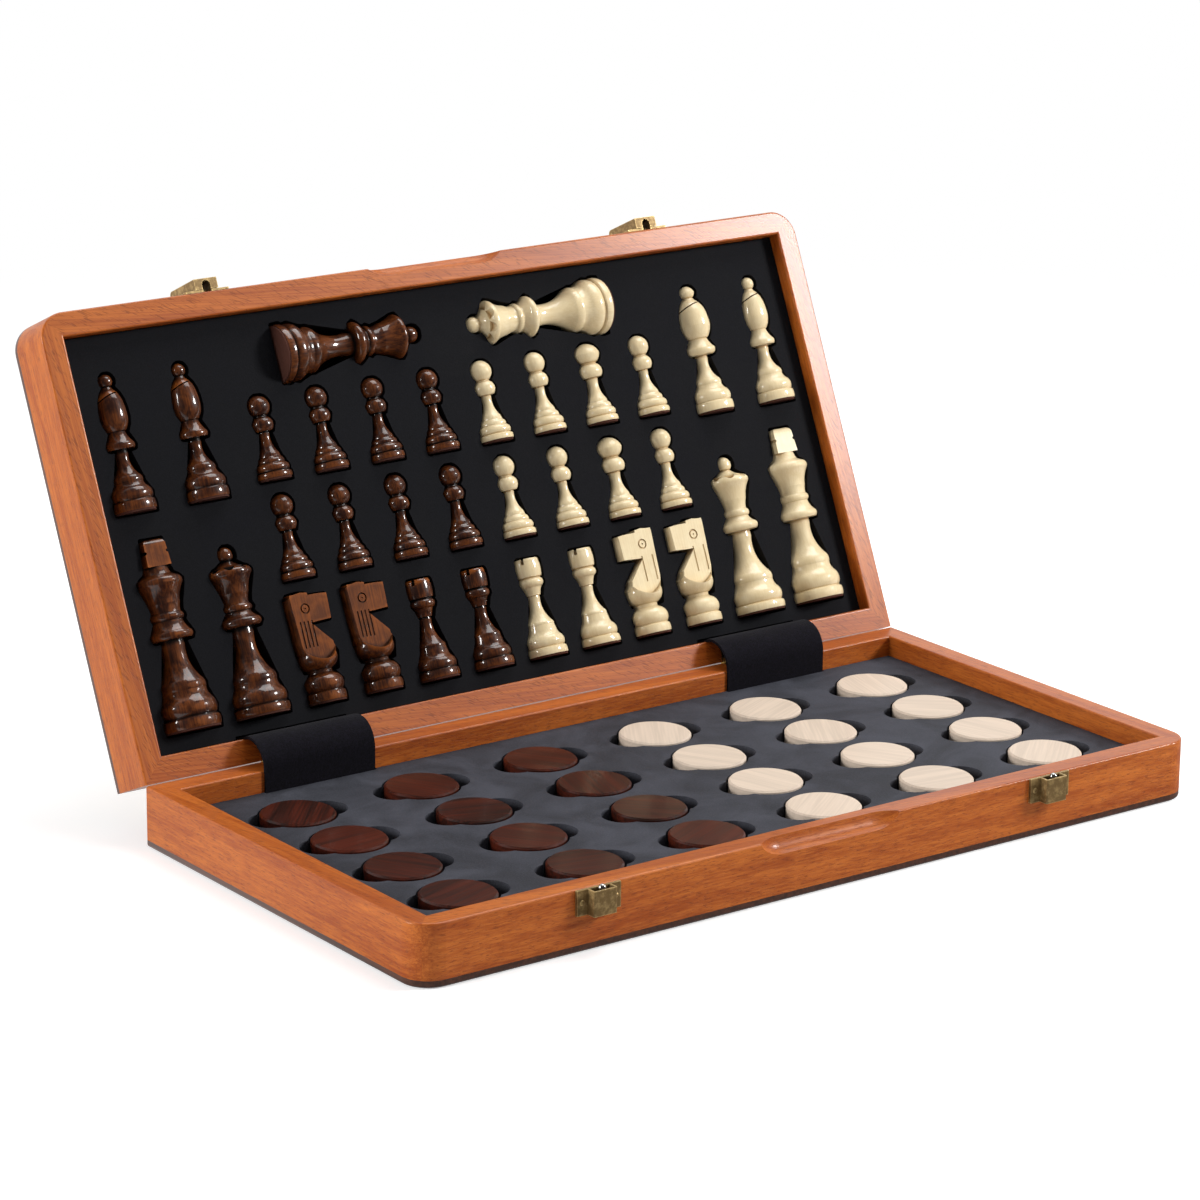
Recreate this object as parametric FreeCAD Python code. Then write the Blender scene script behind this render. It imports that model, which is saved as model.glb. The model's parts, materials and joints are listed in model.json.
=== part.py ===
import FreeCAD, Part
import math
import os
from FreeCAD import Vector

# Magnetic chess set: a folding wooden case with chessmen in the lid and draughts in the base, shown open.
# Millimetres, +X right, +Y towards the hinge, +Z up, origin at the centre of the base's underside.
# Both halves are drawn as the base half. What belongs to the lid is then turned round to lie flat
# behind the hinge, hollow side up, and swung up to the angle at which the lid stands open.

# Case, which is as wide and as deep as the chessmen in its lid need
rail_width = 10.0
corner_radius = 11.5
rim_round = 0.8
panel_thickness = 3.0
panel_edge_round = 1.4
opened_angle = 114.0
hinge_offset = 0.2
overrun = 3.0

# Finger scoop at the middle of each front rail
scoop_depth = 4.25
scoop_drop = 6.0
scoop_flat = 46.0
scoop_taper = 12.0
scoop_tip_share = 0.5

# Playing board on the outside of both halves, square when the case lies open
board_border = 22.0
squares_across = 8
squares_deep = 4
square_inlay = 0.6
square_joint = 0.1
steel_thickness = 0.5
steel_margin = 14.0

# Foam trays
base_foam_recess = 8.7
lid_foam_recess = 6.0
foam_floor = 0.75
foam_clearance = 0.3

# Draughts
draught_diameter = 30.0
draught_thickness = 8.0
draught_bevel = 0.7
draught_proud = 0.9
draught_clearance = 0.8
draught_end_margin = 13.0
draught_row_margin = 14.95
draughts_across = 6
draughts_deep = 4
notch_length = 43.0
notch_width = 18.0

# Butt hinges let into the rims
hinge_x = 116.0
hinge_length = 40.0
leaf_width = 8.0
leaf_thickness = 1.0
knuckle_radius = 2.0
knuckle_gap = 0.3
knuckle_count = 3
hinge_pin_radius = 0.8
run_clearance = 0.05
relief_clearance = 0.3
screw_spread = 26.0
screw_head_radius = 1.7
screw_head_height = 0.7
screw_radius = 0.9
screw_length = 8.0

# Felt straps over the hinges
strap_width = 52.0
strap_thickness = 1.2
strap_gap = 0.3
strap_tuck = 5.0

# Latches on the front rails
latch_x = 111.0
latch_plate_width = 20.0
latch_plate_height = 10.0
latch_rim_gap = 0.2
keeper_plate_thickness = 1.2
hat_width = 10.6
hat_depth = 5.5
hat_wall = 0.7
stud_ball_radius = 1.6
stud_ball_drop = 0.3
stud_neck_radius = 0.8
stud_foot_height = 4.5
hasp_plate_thickness = 0.8
hasp_clearance = 0.3
hasp_length = 21.0
hasp_end_radius = 2.0
hasp_pin_radius = 0.5
hasp_ear_thickness = 0.8
hasp_ear_radius = 1.0
mouth_clearance = 0.35
mouth_shift = 0.25
mouth_depth = 3.0
nail_spread = 15.4
nail_head_radius = 1.1
nail_head_height = 0.7
nail_radius = 0.5
nail_length = 6.0
nail_dome_share = 0.2

# Chessmen, as height and base radius of each kind
king_height = 77.8
king_radius = 12.5
queen_height = 70.0
queen_radius = 12.4
bishop_height = 57.0
bishop_radius = 9.3
knight_height = 45.8
knight_radius = 8.8
rook_height = 42.2
rook_radius = 9.4
pawn_height = 35.5
pawn_radius = 7.7
felt_thickness = 0.8
felt_inset = 0.5
magnet_thickness = 2.4
magnet_radius_share = 0.5
sunk_share = 0.22
cutout_clearance = 1.0
seat_clearance = 0.25

# Chessmen's layout in the lid: gaps between rows, from the hinged edge, and gaps from the ends
front_row_margin = 7.6
middle_pawn_gap = 5.7
upper_pawn_gap = 5.8
spare_queen_gap = 3.0
spare_queen_margin = 6.3
bishop_gap = 11.5
king_margin = 8.0
queen_gap = 7.6
column_gap = 4.6
bishop_margin = 8.2
bishops_apart = 15.2
spare_queens_apart = 24.6
pawn_columns = 4
rook_columns = 2

# Turned outlines: height as a share of the wooden height, radius as a share of the base radius, and
# how far the stretch up to that point swells (or hollows, below zero) as a share of its own length
king_shares = (
    (0.000, 0.985, 0.00), (0.050, 0.990, 0.08), (0.061, 0.915, 0.00), (0.150, 0.880, 0.17),
    (0.200, 0.775, -0.10), (0.250, 0.735, 0.12), (0.440, 0.420, -0.11), (0.466, 0.415, 0.00),
    (0.470, 0.700, 0.00), (0.514, 0.690, 0.24), (0.560, 0.545, -0.06), (0.570, 0.535, 0.00),
    (0.612, 0.535, 0.27), (0.622, 0.530, 0.00), (0.660, 0.575, -0.04), (0.752, 0.775, -0.06),
    (0.800, 0.680, 0.26), (0.814, 0.520, 0.00), (0.846, 0.450, -0.06), (0.857, 0.430, 0.00),
)
king_block_shares = (0.857, 0.430, 0.385)
king_notch_share = 0.930
king_notch_radius = 0.7
queen_shares = (
    (0.000, 0.985, 0.00), (0.044, 0.995, 0.08), (0.054, 0.925, 0.00), (0.138, 0.890, 0.17),
    (0.188, 0.780, -0.10), (0.240, 0.740, 0.12), (0.480, 0.400, -0.12), (0.515, 0.390, 0.00),
    (0.519, 0.640, 0.00), (0.572, 0.630, 0.32), (0.602, 0.480, -0.06), (0.610, 0.470, 0.00),
    (0.655, 0.465, 0.26), (0.665, 0.455, 0.00), (0.720, 0.530, -0.04), (0.822, 0.745, -0.06),
    (0.866, 0.650, 0.26), (0.876, 0.500, 0.00), (0.912, 0.200, -0.06), (0.951, 0.285, 0.14),
    (1.000, 0.000, 0.20),
)
coronet_shares = (0.884, 0.19)
coronet_notches = 8
bishop_shares = (
    (0.000, 0.985, 0.00), (0.064, 0.985, 0.06), (0.076, 0.915, 0.00), (0.165, 0.820, 0.18),
    (0.208, 0.670, -0.10), (0.252, 0.620, 0.12), (0.420, 0.310, -0.13), (0.444, 0.295, 0.00),
    (0.448, 0.640, 0.00), (0.498, 0.620, 0.18), (0.566, 0.410, -0.06), (0.574, 0.400, 0.00),
    (0.582, 0.460, 0.00), (0.680, 0.655, 0.07), (0.800, 0.575, 0.03), (0.888, 0.265, 0.07),
    (0.905, 0.215, 0.00), (0.948, 0.335, 0.13), (1.000, 0.000, 0.20),
)
slit_height_share = 0.825
slit_reach_share = 0.25
slit_width = 0.6
slit_tilt = 15.0
slit_lean = 17.0
rook_shares = (
    (0.000, 0.985, 0.00), (0.070, 0.965, 0.06), (0.084, 0.890, 0.00), (0.190, 0.850, 0.17),
    (0.255, 0.700, -0.10), (0.310, 0.650, 0.00), (0.345, 0.610, 0.12), (0.600, 0.300, -0.11),
    (0.618, 0.290, 0.00), (0.622, 0.360, 0.00), (0.705, 0.480, -0.04), (0.716, 0.540, 0.00),
    (0.790, 0.550, 0.22), (0.802, 0.520, 0.00), (0.812, 0.600, 0.00), (0.965, 0.620, 0.04),
    (1.000, 0.560, 0.14),
)
tower_slot_width = 1.3
tower_slot_depth = 2.4
tower_cup_depth = 1.4
tower_cup_share = 0.40
pawn_shares = (
    (0.000, 0.985, 0.00), (0.062, 0.980, 0.08), (0.078, 0.880, 0.00), (0.165, 0.850, 0.20),
    (0.182, 0.760, 0.00), (0.240, 0.670, 0.14), (0.256, 0.610, 0.00), (0.310, 0.530, 0.06),
    (0.545, 0.300, -0.10), (0.562, 0.290, 0.00), (0.568, 0.480, 0.00), (0.735, 0.400, 0.24),
    (0.748, 0.375, 0.00), (0.865, 0.645, 0.12), (1.000, 0.000, 0.20),
)
knight_foot_shares = (
    (0.000, 0.985, 0.00), (0.074, 0.980, 0.06), (0.089, 0.890, 0.00), (0.243, 0.690, 0.25),
    (0.256, 0.610, 0.00), (0.285, 0.610, -0.08),
)
knight_blank_shares = ((0.285, 0.600, 0.00), (0.430, 0.960, 0.20), (0.530, 1.060, 0.02), (1.000, 1.140, 0.00))
knight_side_shares = (
    (0.90, 0.285, 0.00), (1.10, 0.450, 0.00), (1.12, 0.950, 0.00), (0.98, 0.990, 0.22),
    (0.40, 1.000, 0.02), (0.03, 0.990, 0.00), (0.02, 0.966, 0.00), (-1.04, 0.958, -0.02),
    (-1.06, 0.728, 0.00), (0.16, 0.716, 0.00), (-0.78, 0.520, 0.00), (-1.05, 0.430, 0.16),
    (-0.90, 0.285, 0.00),
)
knight_thickness = 9.6
knight_face_end_share = 0.370
knight_face_end_radius = 8.2
eye_place_shares = (0.30, 0.850)
eye_radius = 2.2
eye_groove_width = 0.7
carving_depth = 0.6
mane_shares = (0.10, 0.72, 0.730, 0.500)
mane_groove_radius = 0.4
light_mane_grooves = 2
dark_mane_grooves = 4
stout_share = 1.22
stout_from_share = 0.45
fine_share = 1.0
middle_share = 0.5
dome_outline_shares = (0.8, 0.6, 0.4, 0.2)

# Rows of chessmen in the lid, from its hinged edge, and the case that holds them
front_row_v = rail_width + front_row_margin
middle_pawn_row_v = front_row_v + knight_height + middle_pawn_gap
upper_pawn_row_v = middle_pawn_row_v + pawn_height + upper_pawn_gap
bishop_row_v = front_row_v + king_height + bishop_gap
spare_queen_v = upper_pawn_row_v + pawn_height + spare_queen_gap + queen_radius
case_width = spare_queen_v + queen_radius + spare_queen_margin + rail_width
case_length = 2 * case_width
half_height = panel_thickness + foam_floor + king_radius * (1 + sunk_share) + lid_foam_recess

# Places that follow from the sizes above
x_end = case_length / 2
y_front = -case_width / 2
y_rear = case_width / 2
hinge_y = y_rear + hinge_offset
hinge_z = half_height + hinge_offset
x_inside = x_end - rail_width
y_inside_front = y_front + rail_width
y_inside_rear = y_rear - rail_width
square_size = (case_width - board_border) / squares_deep
draught_pitch_x = (2 * (x_inside - draught_end_margin) - notch_length) / (draughts_across - 1)
draught_pitch_y = (case_width - 2 * (rail_width + draught_row_margin) - draught_diameter) / (draughts_deep - 1)
king_x = x_inside - king_margin - king_radius
queen_x = king_x - king_radius - queen_gap - queen_radius
column_pitch = (queen_x - queen_radius - column_gap) / pawn_columns
outer_bishop_x = x_inside - bishop_margin - bishop_radius
inner_bishop_x = outer_bishop_x - 2 * bishop_radius - bishops_apart
spare_queen_x = spare_queens_apart / 2 + queen_height
mouth_half = stud_ball_radius + mouth_clearance
up = Vector(0, 0, 1)
along_x = Vector(1, 0, 0)
outline_facing = Vector(0, -1, 0)
sides = (-1, 1)


def block(x0, x1, y0, y1, z0, z1):
    return Part.makeBox(x1 - x0, y1 - y0, z1 - z0, Vector(x0, y0, z0))


def moved(shape, x, y, z):
    placed = shape.copy()
    placed.translate(Vector(x, y, z))
    return placed


def turned_by(shape, centre, axis, angle):
    placed = shape.copy()
    placed.rotate(centre, axis, angle)
    return placed


def lid_flat(shape):
    return turned_by(shape, Vector(0, hinge_y, 0), up, 180)


def lid_swung(shape):
    return turned_by(shape, Vector(0, hinge_y, hinge_z), along_x, 180 - opened_angle)


def lid_placed(shape):
    return lid_swung(lid_flat(shape))


def export(node, solids):
    Part.makeCompound(solids).exportStep("parts/" + node + ".step")


def prism(points, direction):
    return Part.Face(Part.makePolygon(points + points[:1])).extrude(direction)


def swollen_middle(start, end, bulge_share, facing):
    """Middle of a stretch that swells sideways by a share of its own length."""
    swell = (end - start).cross(facing)
    swell.normalize()
    return (start + end) / 2 + swell * (bulge_share * (end - start).Length)


def chain(points, bulge_shares, facing):
    """Lines and arcs through the points, one for each bulge."""
    edges = []
    for start, end, bulge_share in zip(points, points[1:], bulge_shares):
        if bulge_share == 0:
            edges.append(Part.makeLine(start, end))
        else:
            middle = swollen_middle(start, end, bulge_share, facing)
            edges.append(Part.Arc(start, middle, end).toShape())
    return edges


def turned(rows):
    """Solid of revolution about Z from rows of height, radius and bulge. A swollen last stretch that
    ends on the axis is a dome."""
    points = [Vector(radius, 0, height) for height, radius, bulge in rows]
    edges = chain(points, [bulge for height, radius, bulge in rows[1:]], outline_facing)
    foot = Vector(0, 0, points[0].z)
    crown = Vector(0, 0, points[-1].z)
    if points[0].x > 0:
        edges.insert(0, Part.makeLine(foot, points[0]))
    if points[-1].x > 0:
        edges.append(Part.makeLine(points[-1], crown))
    elif rows[-1][2] > 0:
        edges[-1] = dome(points[-2], crown)
    edges.append(Part.makeLine(crown, foot))
    return Part.Face(Part.Wire(edges)).revolve(Vector(0, 0, 0), up, 360)


def dome_point(rim, crown, share):
    """Point of a dome, at a share of the angle from its crown on the Z axis down to its rim."""
    rise = crown.z - rim.z
    ball_radius = (rim.x ** 2 + rise ** 2) / (2 * rise)
    angle = math.atan2(rim.x, ball_radius - rise) * share
    centre_z = crown.z - ball_radius
    return Vector(ball_radius * math.sin(angle), 0, centre_z + ball_radius * math.cos(angle))


def dome(rim, crown):
    """Arc up to a crown on the Z axis, centred on that axis so that it turns into part of a ball."""
    return Part.Arc(rim, dome_point(rim, crown, middle_share), crown).toShape()


def case_face(z):
    """Outline of a half: rounded at the two front corners, square at the hinge."""
    corner = corner_radius * (1 - math.sqrt(0.5))
    left_rear = Vector(-x_end, y_rear, z)
    left_side = Vector(-x_end, y_front + corner_radius, z)
    left_middle = Vector(-x_end + corner, y_front + corner, z)
    left_front = Vector(-x_end + corner_radius, y_front, z)
    right_front = Vector(x_end - corner_radius, y_front, z)
    right_middle = Vector(x_end - corner, y_front + corner, z)
    right_side = Vector(x_end, y_front + corner_radius, z)
    right_rear = Vector(x_end, y_rear, z)
    edges = [
        Part.makeLine(left_rear, left_side),
        Part.Arc(left_side, left_middle, left_front).toShape(),
        Part.makeLine(left_front, right_front),
        Part.Arc(right_front, right_middle, right_side).toShape(),
        Part.makeLine(right_side, right_rear),
        Part.makeLine(right_rear, left_rear),
    ]
    return Part.Face(Part.Wire(edges))


def rounded_at(solid, z, radius):
    """Rounds the edges that lie at height z, apart from the square one along the hinge."""
    edges = []
    for edge in solid.Edges:
        bounds = edge.BoundBox
        level = abs(bounds.ZMin - z) < hinge_offset and abs(bounds.ZMax - z) < hinge_offset
        if level and bounds.YMin < y_rear - hinge_offset:
            edges.append(edge)
    return solid.makeFillet(radius, edges)


def scoop():
    """Cove whose ends taper smoothly, cut along the outer edge of a front rail's rim."""
    outward = (scoop_drop ** 2 - scoop_depth ** 2) / (2 * scoop_depth)
    radius = scoop_depth + outward
    half = scoop_flat / 2
    tip_radius = outward * scoop_tip_share
    smooth_bulge_share = math.tan(math.atan2(radius - tip_radius, scoop_taper) / 2) / 2
    rows = (
        (-half - scoop_taper, tip_radius, 0),
        (-half, radius, smooth_bulge_share),
        (half, radius, 0),
        (half + scoop_taper, tip_radius, smooth_bulge_share),
    )
    cove = turned_by(turned(rows), Vector(0, 0, 0), Vector(0, 1, 0), 90)
    return moved(cove, 0, y_front - outward, half_height)


def rail_ring():
    hollow = block(-x_inside, x_inside, y_inside_front, y_inside_rear, 0, half_height + overrun)
    height = half_height - panel_thickness
    ring = case_face(panel_thickness).extrude(Vector(0, 0, height)).cut(hollow)
    return rounded_at(ring, half_height, rim_round).cut(scoop())


def mitre_wedge(side):
    """Prism over the end rail on one side, cut off along the mitres of its two corners."""
    near_x = side * (x_inside - overrun)
    far_x = side * (x_end + overrun)
    reach = rail_width + overrun
    points = [
        Vector(far_x, y_front - overrun, 0),
        Vector(far_x, y_rear + overrun, 0),
        Vector(near_x, y_rear - reach, 0),
        Vector(near_x, y_front + reach, 0),
    ]
    return prism(points, Vector(0, 0, half_height + overrun))


def rails(fittings):
    """Front, rear and two end rails of a half, cut for the fittings that are let into them."""
    ring = rail_ring()
    for fitting in fittings:
        ring = ring.cut(fitting)
    ends = [ring.common(mitre_wedge(side)) for side in sides]
    bars = ring.cut(mitre_wedge(-1)).cut(mitre_wedge(1))
    front, rear = sorted(bars.Solids, key=lambda bar: bar.CenterOfMass.y)
    return front, rear, [end.Solids[0] for end in ends]


def dark_squares():
    """Dark squares of one half, let into the panel's outer face. The light ones are its own veneer, and a
    hair of it is left between squares that meet at a corner."""
    left = -squares_across * square_size / 2
    squares = []
    for column in range(squares_across):
        for row in range(squares_deep):
            if (column + row) % 2 == 0:
                x0 = left + column * square_size + square_joint
                x1 = left + (column + 1) * square_size - square_joint
                y0 = y_rear - (row + 1) * square_size + square_joint
                y1 = y_rear - row * square_size - (square_joint if row > 0 else 0)
                squares.append(block(x0, x1, y0, y1, 0, square_inlay))
    return squares


def steel_sheet():
    x = x_end - steel_margin
    y0 = y_front + steel_margin
    y1 = y_rear - steel_margin
    return block(-x, x, y0, y1, panel_thickness - steel_thickness, panel_thickness)


def board_panel(squares, sheet):
    panel = case_face(0).extrude(Vector(0, 0, panel_thickness))
    panel = rounded_at(panel, 0, panel_edge_round)
    return panel.cut(Part.makeCompound(squares)).cut(sheet)


def screw(x, y):
    """Countersunk wood screw with its head flush with the rim."""
    rows = (
        (half_height - screw_length, 0, 0),
        (half_height - screw_length + screw_radius, screw_radius, 0),
        (half_height - screw_head_height, screw_radius, 0),
        (half_height, screw_head_radius, 0),
    )
    return moved(turned(rows), x, y, 0)


def hinge_screws():
    y = y_rear - rail_width / 2
    places = [(side * hinge_x + end * screw_spread / 2, y) for side in sides for end in sides]
    return [screw(x, y) for x, y in places]


def barrel(x0, x1, radius):
    return Part.makeCylinder(radius, x1 - x0, Vector(x0, hinge_y, hinge_z), along_x)


def hinge_leaf(x, first_knuckle, screws):
    """Leaf let into the rim, with every second knuckle of the hinge from the given one on."""
    x0 = x - hinge_length / 2
    step = hinge_length / knuckle_count
    y0 = y_rear - rail_width / 2 - leaf_width / 2
    bed = half_height - leaf_thickness
    leaf = block(x0, x0 + hinge_length, y0, hinge_y, bed, half_height)
    for knuckle in range(knuckle_count):
        start = x0 + knuckle * step
        if knuckle % 2 == first_knuckle:
            leaf = leaf.fuse(barrel(start + knuckle_gap / 2, start + step - knuckle_gap / 2, knuckle_radius))
        else:
            leaf = leaf.cut(barrel(start - knuckle_gap / 2, start + step + knuckle_gap / 2,
                                   knuckle_radius + relief_clearance))
    leaf = leaf.cut(barrel(x0, x0 + hinge_length, hinge_pin_radius + run_clearance))
    for fastener in screws:
        leaf = leaf.cut(fastener)
    return leaf.removeSplitter().Solids[0]


def hinge_bed(x):
    """Mortise for a leaf and relief for the knuckles, cut out of a rear rail."""
    x0 = x - hinge_length / 2
    y0 = y_rear - rail_width / 2 - leaf_width / 2
    mortise = block(x0, x0 + hinge_length, y0, hinge_y, half_height - leaf_thickness, half_height + overrun)
    relief = barrel(x0 - relief_clearance, x0 + hinge_length + relief_clearance, knuckle_radius + relief_clearance)
    return mortise.fuse(relief)


def strap(x):
    """Felt strip tucked behind both foam trays and bulging round the hinge, drawn with the lid open."""
    inner = rail_width + hinge_offset + strap_gap
    outer = inner + strap_thickness
    base_tail = hinge_offset + base_foam_recess + strap_tuck
    lid_tail = hinge_offset + lid_foam_recess + strap_tuck
    axis = Vector(x - strap_width / 2, hinge_y, hinge_z)
    turn = math.radians(opened_angle)

    def spot(radius, angle, drop):
        along = Vector(0, -math.cos(angle), math.sin(angle))
        across = Vector(0, -math.sin(angle), -math.cos(angle))
        return axis + along * radius + across * drop

    edges = [
        Part.makeLine(spot(inner, 0, base_tail), spot(inner, 0, 0)),
        Part.Arc(spot(inner, 0, 0), spot(inner, turn / 2, 0), spot(inner, turn, 0)).toShape(),
        Part.makeLine(spot(inner, turn, 0), spot(inner, turn, -lid_tail)),
        Part.makeLine(spot(inner, turn, -lid_tail), spot(outer, turn, -lid_tail)),
        Part.makeLine(spot(outer, turn, -lid_tail), spot(outer, turn, 0)),
        Part.Arc(spot(outer, turn, 0), spot(outer, turn / 2, 0), spot(outer, 0, 0)).toShape(),
        Part.makeLine(spot(outer, 0, 0), spot(outer, 0, base_tail)),
        Part.makeLine(spot(outer, 0, base_tail), spot(inner, 0, base_tail)),
    ]
    return Part.Face(Part.Wire(edges)).extrude(Vector(strap_width, 0, 0))


def foam_block(recess):
    """Foam tray of one half, notched at the rear for the tucked ends of the straps."""
    top = half_height - recess
    x = x_inside - foam_clearance
    y0 = y_inside_front + foam_clearance
    y1 = y_inside_rear - foam_clearance
    foam = block(-x, x, y0, y1, panel_thickness, top)
    slot_y = y_inside_rear - strap_thickness - 2 * strap_gap
    slot_z = top - strap_tuck - strap_gap
    for side in sides:
        slot_x0 = side * hinge_x - strap_width / 2 - strap_gap
        slot_x1 = side * hinge_x + strap_width / 2 + strap_gap
        foam = foam.cut(block(slot_x0, slot_x1, slot_y, y1 + overrun, slot_z, top + overrun))
    return foam


def draught_places():
    places = []
    for column in range(draughts_across):
        for row in range(draughts_deep):
            x = (column - (draughts_across - 1) / 2) * draught_pitch_x
            y = (row - (draughts_deep - 1) / 2) * draught_pitch_y
            places.append((x, y))
    return places


def draught_floor():
    return half_height - base_foam_recess + draught_proud - draught_thickness


def draught(x, y):
    radius = draught_diameter / 2
    rows = (
        (0, radius - draught_bevel, 0),
        (draught_bevel, radius, 0),
        (draught_thickness - draught_bevel, radius, 0),
        (draught_thickness, radius - draught_bevel, 0),
    )
    return moved(turned(rows), x, y, draught_floor())


def draught_recess(x, y):
    """Round seat with a finger notch on either side."""
    floor = draught_floor() - seat_clearance
    depth = draught_thickness + overrun
    seat = Part.makeCylinder(draught_diameter / 2 + draught_clearance, depth, Vector(x, y, floor))
    reach = (notch_length - notch_width) / 2
    half = notch_width / 2
    notch = block(x - reach, x + reach, y - half, y + half, floor, floor + depth)
    for side in sides:
        notch = notch.fuse(Part.makeCylinder(half, depth, Vector(x + side * reach, y, floor)))
    return seat.fuse(notch)


def nail(x, face, z):
    """Round-headed nail driven back into a front rail from a plate whose outer face is given."""
    rows = (
        (face - y_front - nail_length, 0, 0),
        (face - y_front - nail_length + nail_radius, nail_radius, 0),
        (0, nail_radius, 0),
        (0, nail_head_radius, 0),
        (nail_head_height, 0, nail_dome_share),
    )
    return moved(turned_by(turned(rows), Vector(0, 0, 0), along_x, 90), x, face, z)


def latch_nails(x, plate_thickness):
    z = half_height - latch_rim_gap - latch_plate_height / 2
    face = y_front - plate_thickness
    return [nail(x + side * nail_spread / 2, face, z) for side in sides]


def latch_keeper(x, nails):
    """Plate with a box open at top and bottom, which shelters the stud."""
    top = half_height - latch_rim_gap
    bottom = top - latch_plate_height
    half = hat_width / 2
    plate_y = y_front - keeper_plate_thickness
    hat_y = y_front - hat_depth
    plate = block(x - latch_plate_width / 2, x + latch_plate_width / 2, plate_y, y_front, bottom, top)
    hat = block(x - half, x + half, hat_y, plate_y, bottom, top)
    corners = [edge for edge in hat.Edges if edge.BoundBox.YMax < plate_y and edge.BoundBox.ZLength > 0]
    corners = [edge for edge in corners if edge.BoundBox.XLength < hat_wall]
    hat = hat.makeFillet(hat_wall, corners)
    inside = block(x - half + hat_wall, x + half - hat_wall, hat_y + hat_wall, plate_y, bottom - overrun, top + overrun)
    keeper = plate.fuse(hat.cut(inside)).removeSplitter()
    for fastener in nails:
        keeper = keeper.cut(fastener)
    return keeper.Solids[0]


def stud_y():
    return y_front - (keeper_plate_thickness + hat_depth - hat_wall) / 2


def latch_stud(x):
    """Ball on a neck, standing on a foot that fills the keeper's box from wall to wall."""
    bottom = half_height - latch_rim_gap - latch_plate_height
    ball_z = half_height - stud_ball_drop
    half = hat_width / 2 - hat_wall
    foot = block(x - half, x + half, y_front - hat_depth + hat_wall, y_front - keeper_plate_thickness,
                 bottom, bottom + stud_foot_height)
    neck_height = ball_z - bottom - stud_foot_height
    neck = Part.makeCylinder(stud_neck_radius, neck_height, Vector(x, stud_y(), bottom + stud_foot_height))
    ball = Part.makeSphere(stud_ball_radius, Vector(x, stud_y(), ball_z))
    return foot.fuse(neck).fuse(ball).removeSplitter().Solids[0]


def hasp_pivot():
    out = hasp_plate_thickness + hasp_clearance + hasp_end_radius
    z = half_height - latch_rim_gap - hasp_length + hasp_end_radius
    return y_front - out, z


def hasp_bore(x, radius):
    y, z = hasp_pivot()
    return Part.makeCylinder(radius, hat_width, Vector(x - hat_width / 2, y, z), along_x)


def hasp_block(x):
    """Outer form of the hasp leaf, solid, with its round end about the pin."""
    pivot_y, pivot_z = hasp_pivot()
    top = half_height - latch_rim_gap
    inner_y = pivot_y + hasp_end_radius
    outer_y = y_front - hat_depth
    x0 = x - hat_width / 2
    edges = [
        Part.makeLine(Vector(x0, inner_y, pivot_z), Vector(x0, inner_y, top)),
        Part.makeLine(Vector(x0, inner_y, top), Vector(x0, outer_y, top)),
        Part.makeLine(Vector(x0, outer_y, top), Vector(x0, pivot_y - hasp_end_radius, pivot_z)),
        Part.Arc(Vector(x0, pivot_y - hasp_end_radius, pivot_z), Vector(x0, pivot_y, pivot_z - hasp_end_radius),
                 Vector(x0, inner_y, pivot_z)).toShape(),
    ]
    return Part.Face(Part.Wire(edges)).extrude(Vector(hat_width, 0, 0))


def hasp_hollow(x):
    """Room inside the hasp leaf, open towards its plate and at the ears, which sweep through it."""
    pivot_y, pivot_z = hasp_pivot()
    half = hat_width / 2 - hat_wall
    top = half_height - latch_rim_gap - hat_wall
    low = pivot_z - hasp_end_radius - overrun
    slope_y = pivot_y - hasp_end_radius + hat_wall
    corners = [
        Vector(x - half, y_front, low),
        Vector(x - half, y_front, top),
        Vector(x - half, y_front - hat_depth + hat_wall, top),
        Vector(x - half, slope_y, pivot_z),
        Vector(x - half, slope_y, low),
    ]
    return Part.Face(Part.makePolygon(corners + corners[:1])).extrude(Vector(2 * half, 0, 0))


def hasp_leaf(x):
    """Swinging cover with an arched mouth that drops over the stud's neck."""
    leaf = hasp_block(x).cut(hasp_hollow(x))
    spring_y = stud_y() + mouth_shift
    z0 = half_height - latch_rim_gap - hat_wall - overrun / 2
    mouth = block(x - mouth_half, x + mouth_half, spring_y, y_front, z0, z0 + overrun)
    arch = Part.makeCylinder(mouth_half, overrun, Vector(x, spring_y, z0))
    leaf = leaf.cut(mouth.fuse(arch)).cut(hasp_bore(x, hasp_pin_radius + run_clearance))
    return leaf.removeSplitter().Solids[0]


def hasp_plate(x, nails):
    """Plate under the hasp, notched at the mouth, with wings for the nails and two ears for the pin."""
    top = half_height - latch_rim_gap
    pivot_y, pivot_z = hasp_pivot()
    face = y_front - hasp_plate_thickness
    half = hat_width / 2 - hat_wall - hasp_clearance
    plate = block(x - latch_plate_width / 2, x + latch_plate_width / 2, face, y_front, top - latch_plate_height, top)
    tail = block(x - half, x + half, face, y_front, pivot_z - hasp_ear_radius, top)
    plate = plate.fuse(tail)
    for side in sides:
        ear_x = x + side * half - (hasp_ear_thickness if side > 0 else 0)
        stem = block(ear_x, ear_x + hasp_ear_thickness, pivot_y, face,
                     pivot_z - hasp_ear_radius, pivot_z + hasp_ear_radius)
        crown = Part.makeCylinder(hasp_ear_radius, hasp_ear_thickness, Vector(ear_x, pivot_y, pivot_z), along_x)
        plate = plate.fuse(stem).fuse(crown)
    plate = plate.cut(block(x - mouth_half, x + mouth_half, face, y_front, top - mouth_depth, top))
    plate = plate.cut(hasp_bore(x, hasp_pin_radius)).removeSplitter()
    for fastener in nails:
        plate = plate.cut(fastener)
    return plate.Solids[0]


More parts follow.
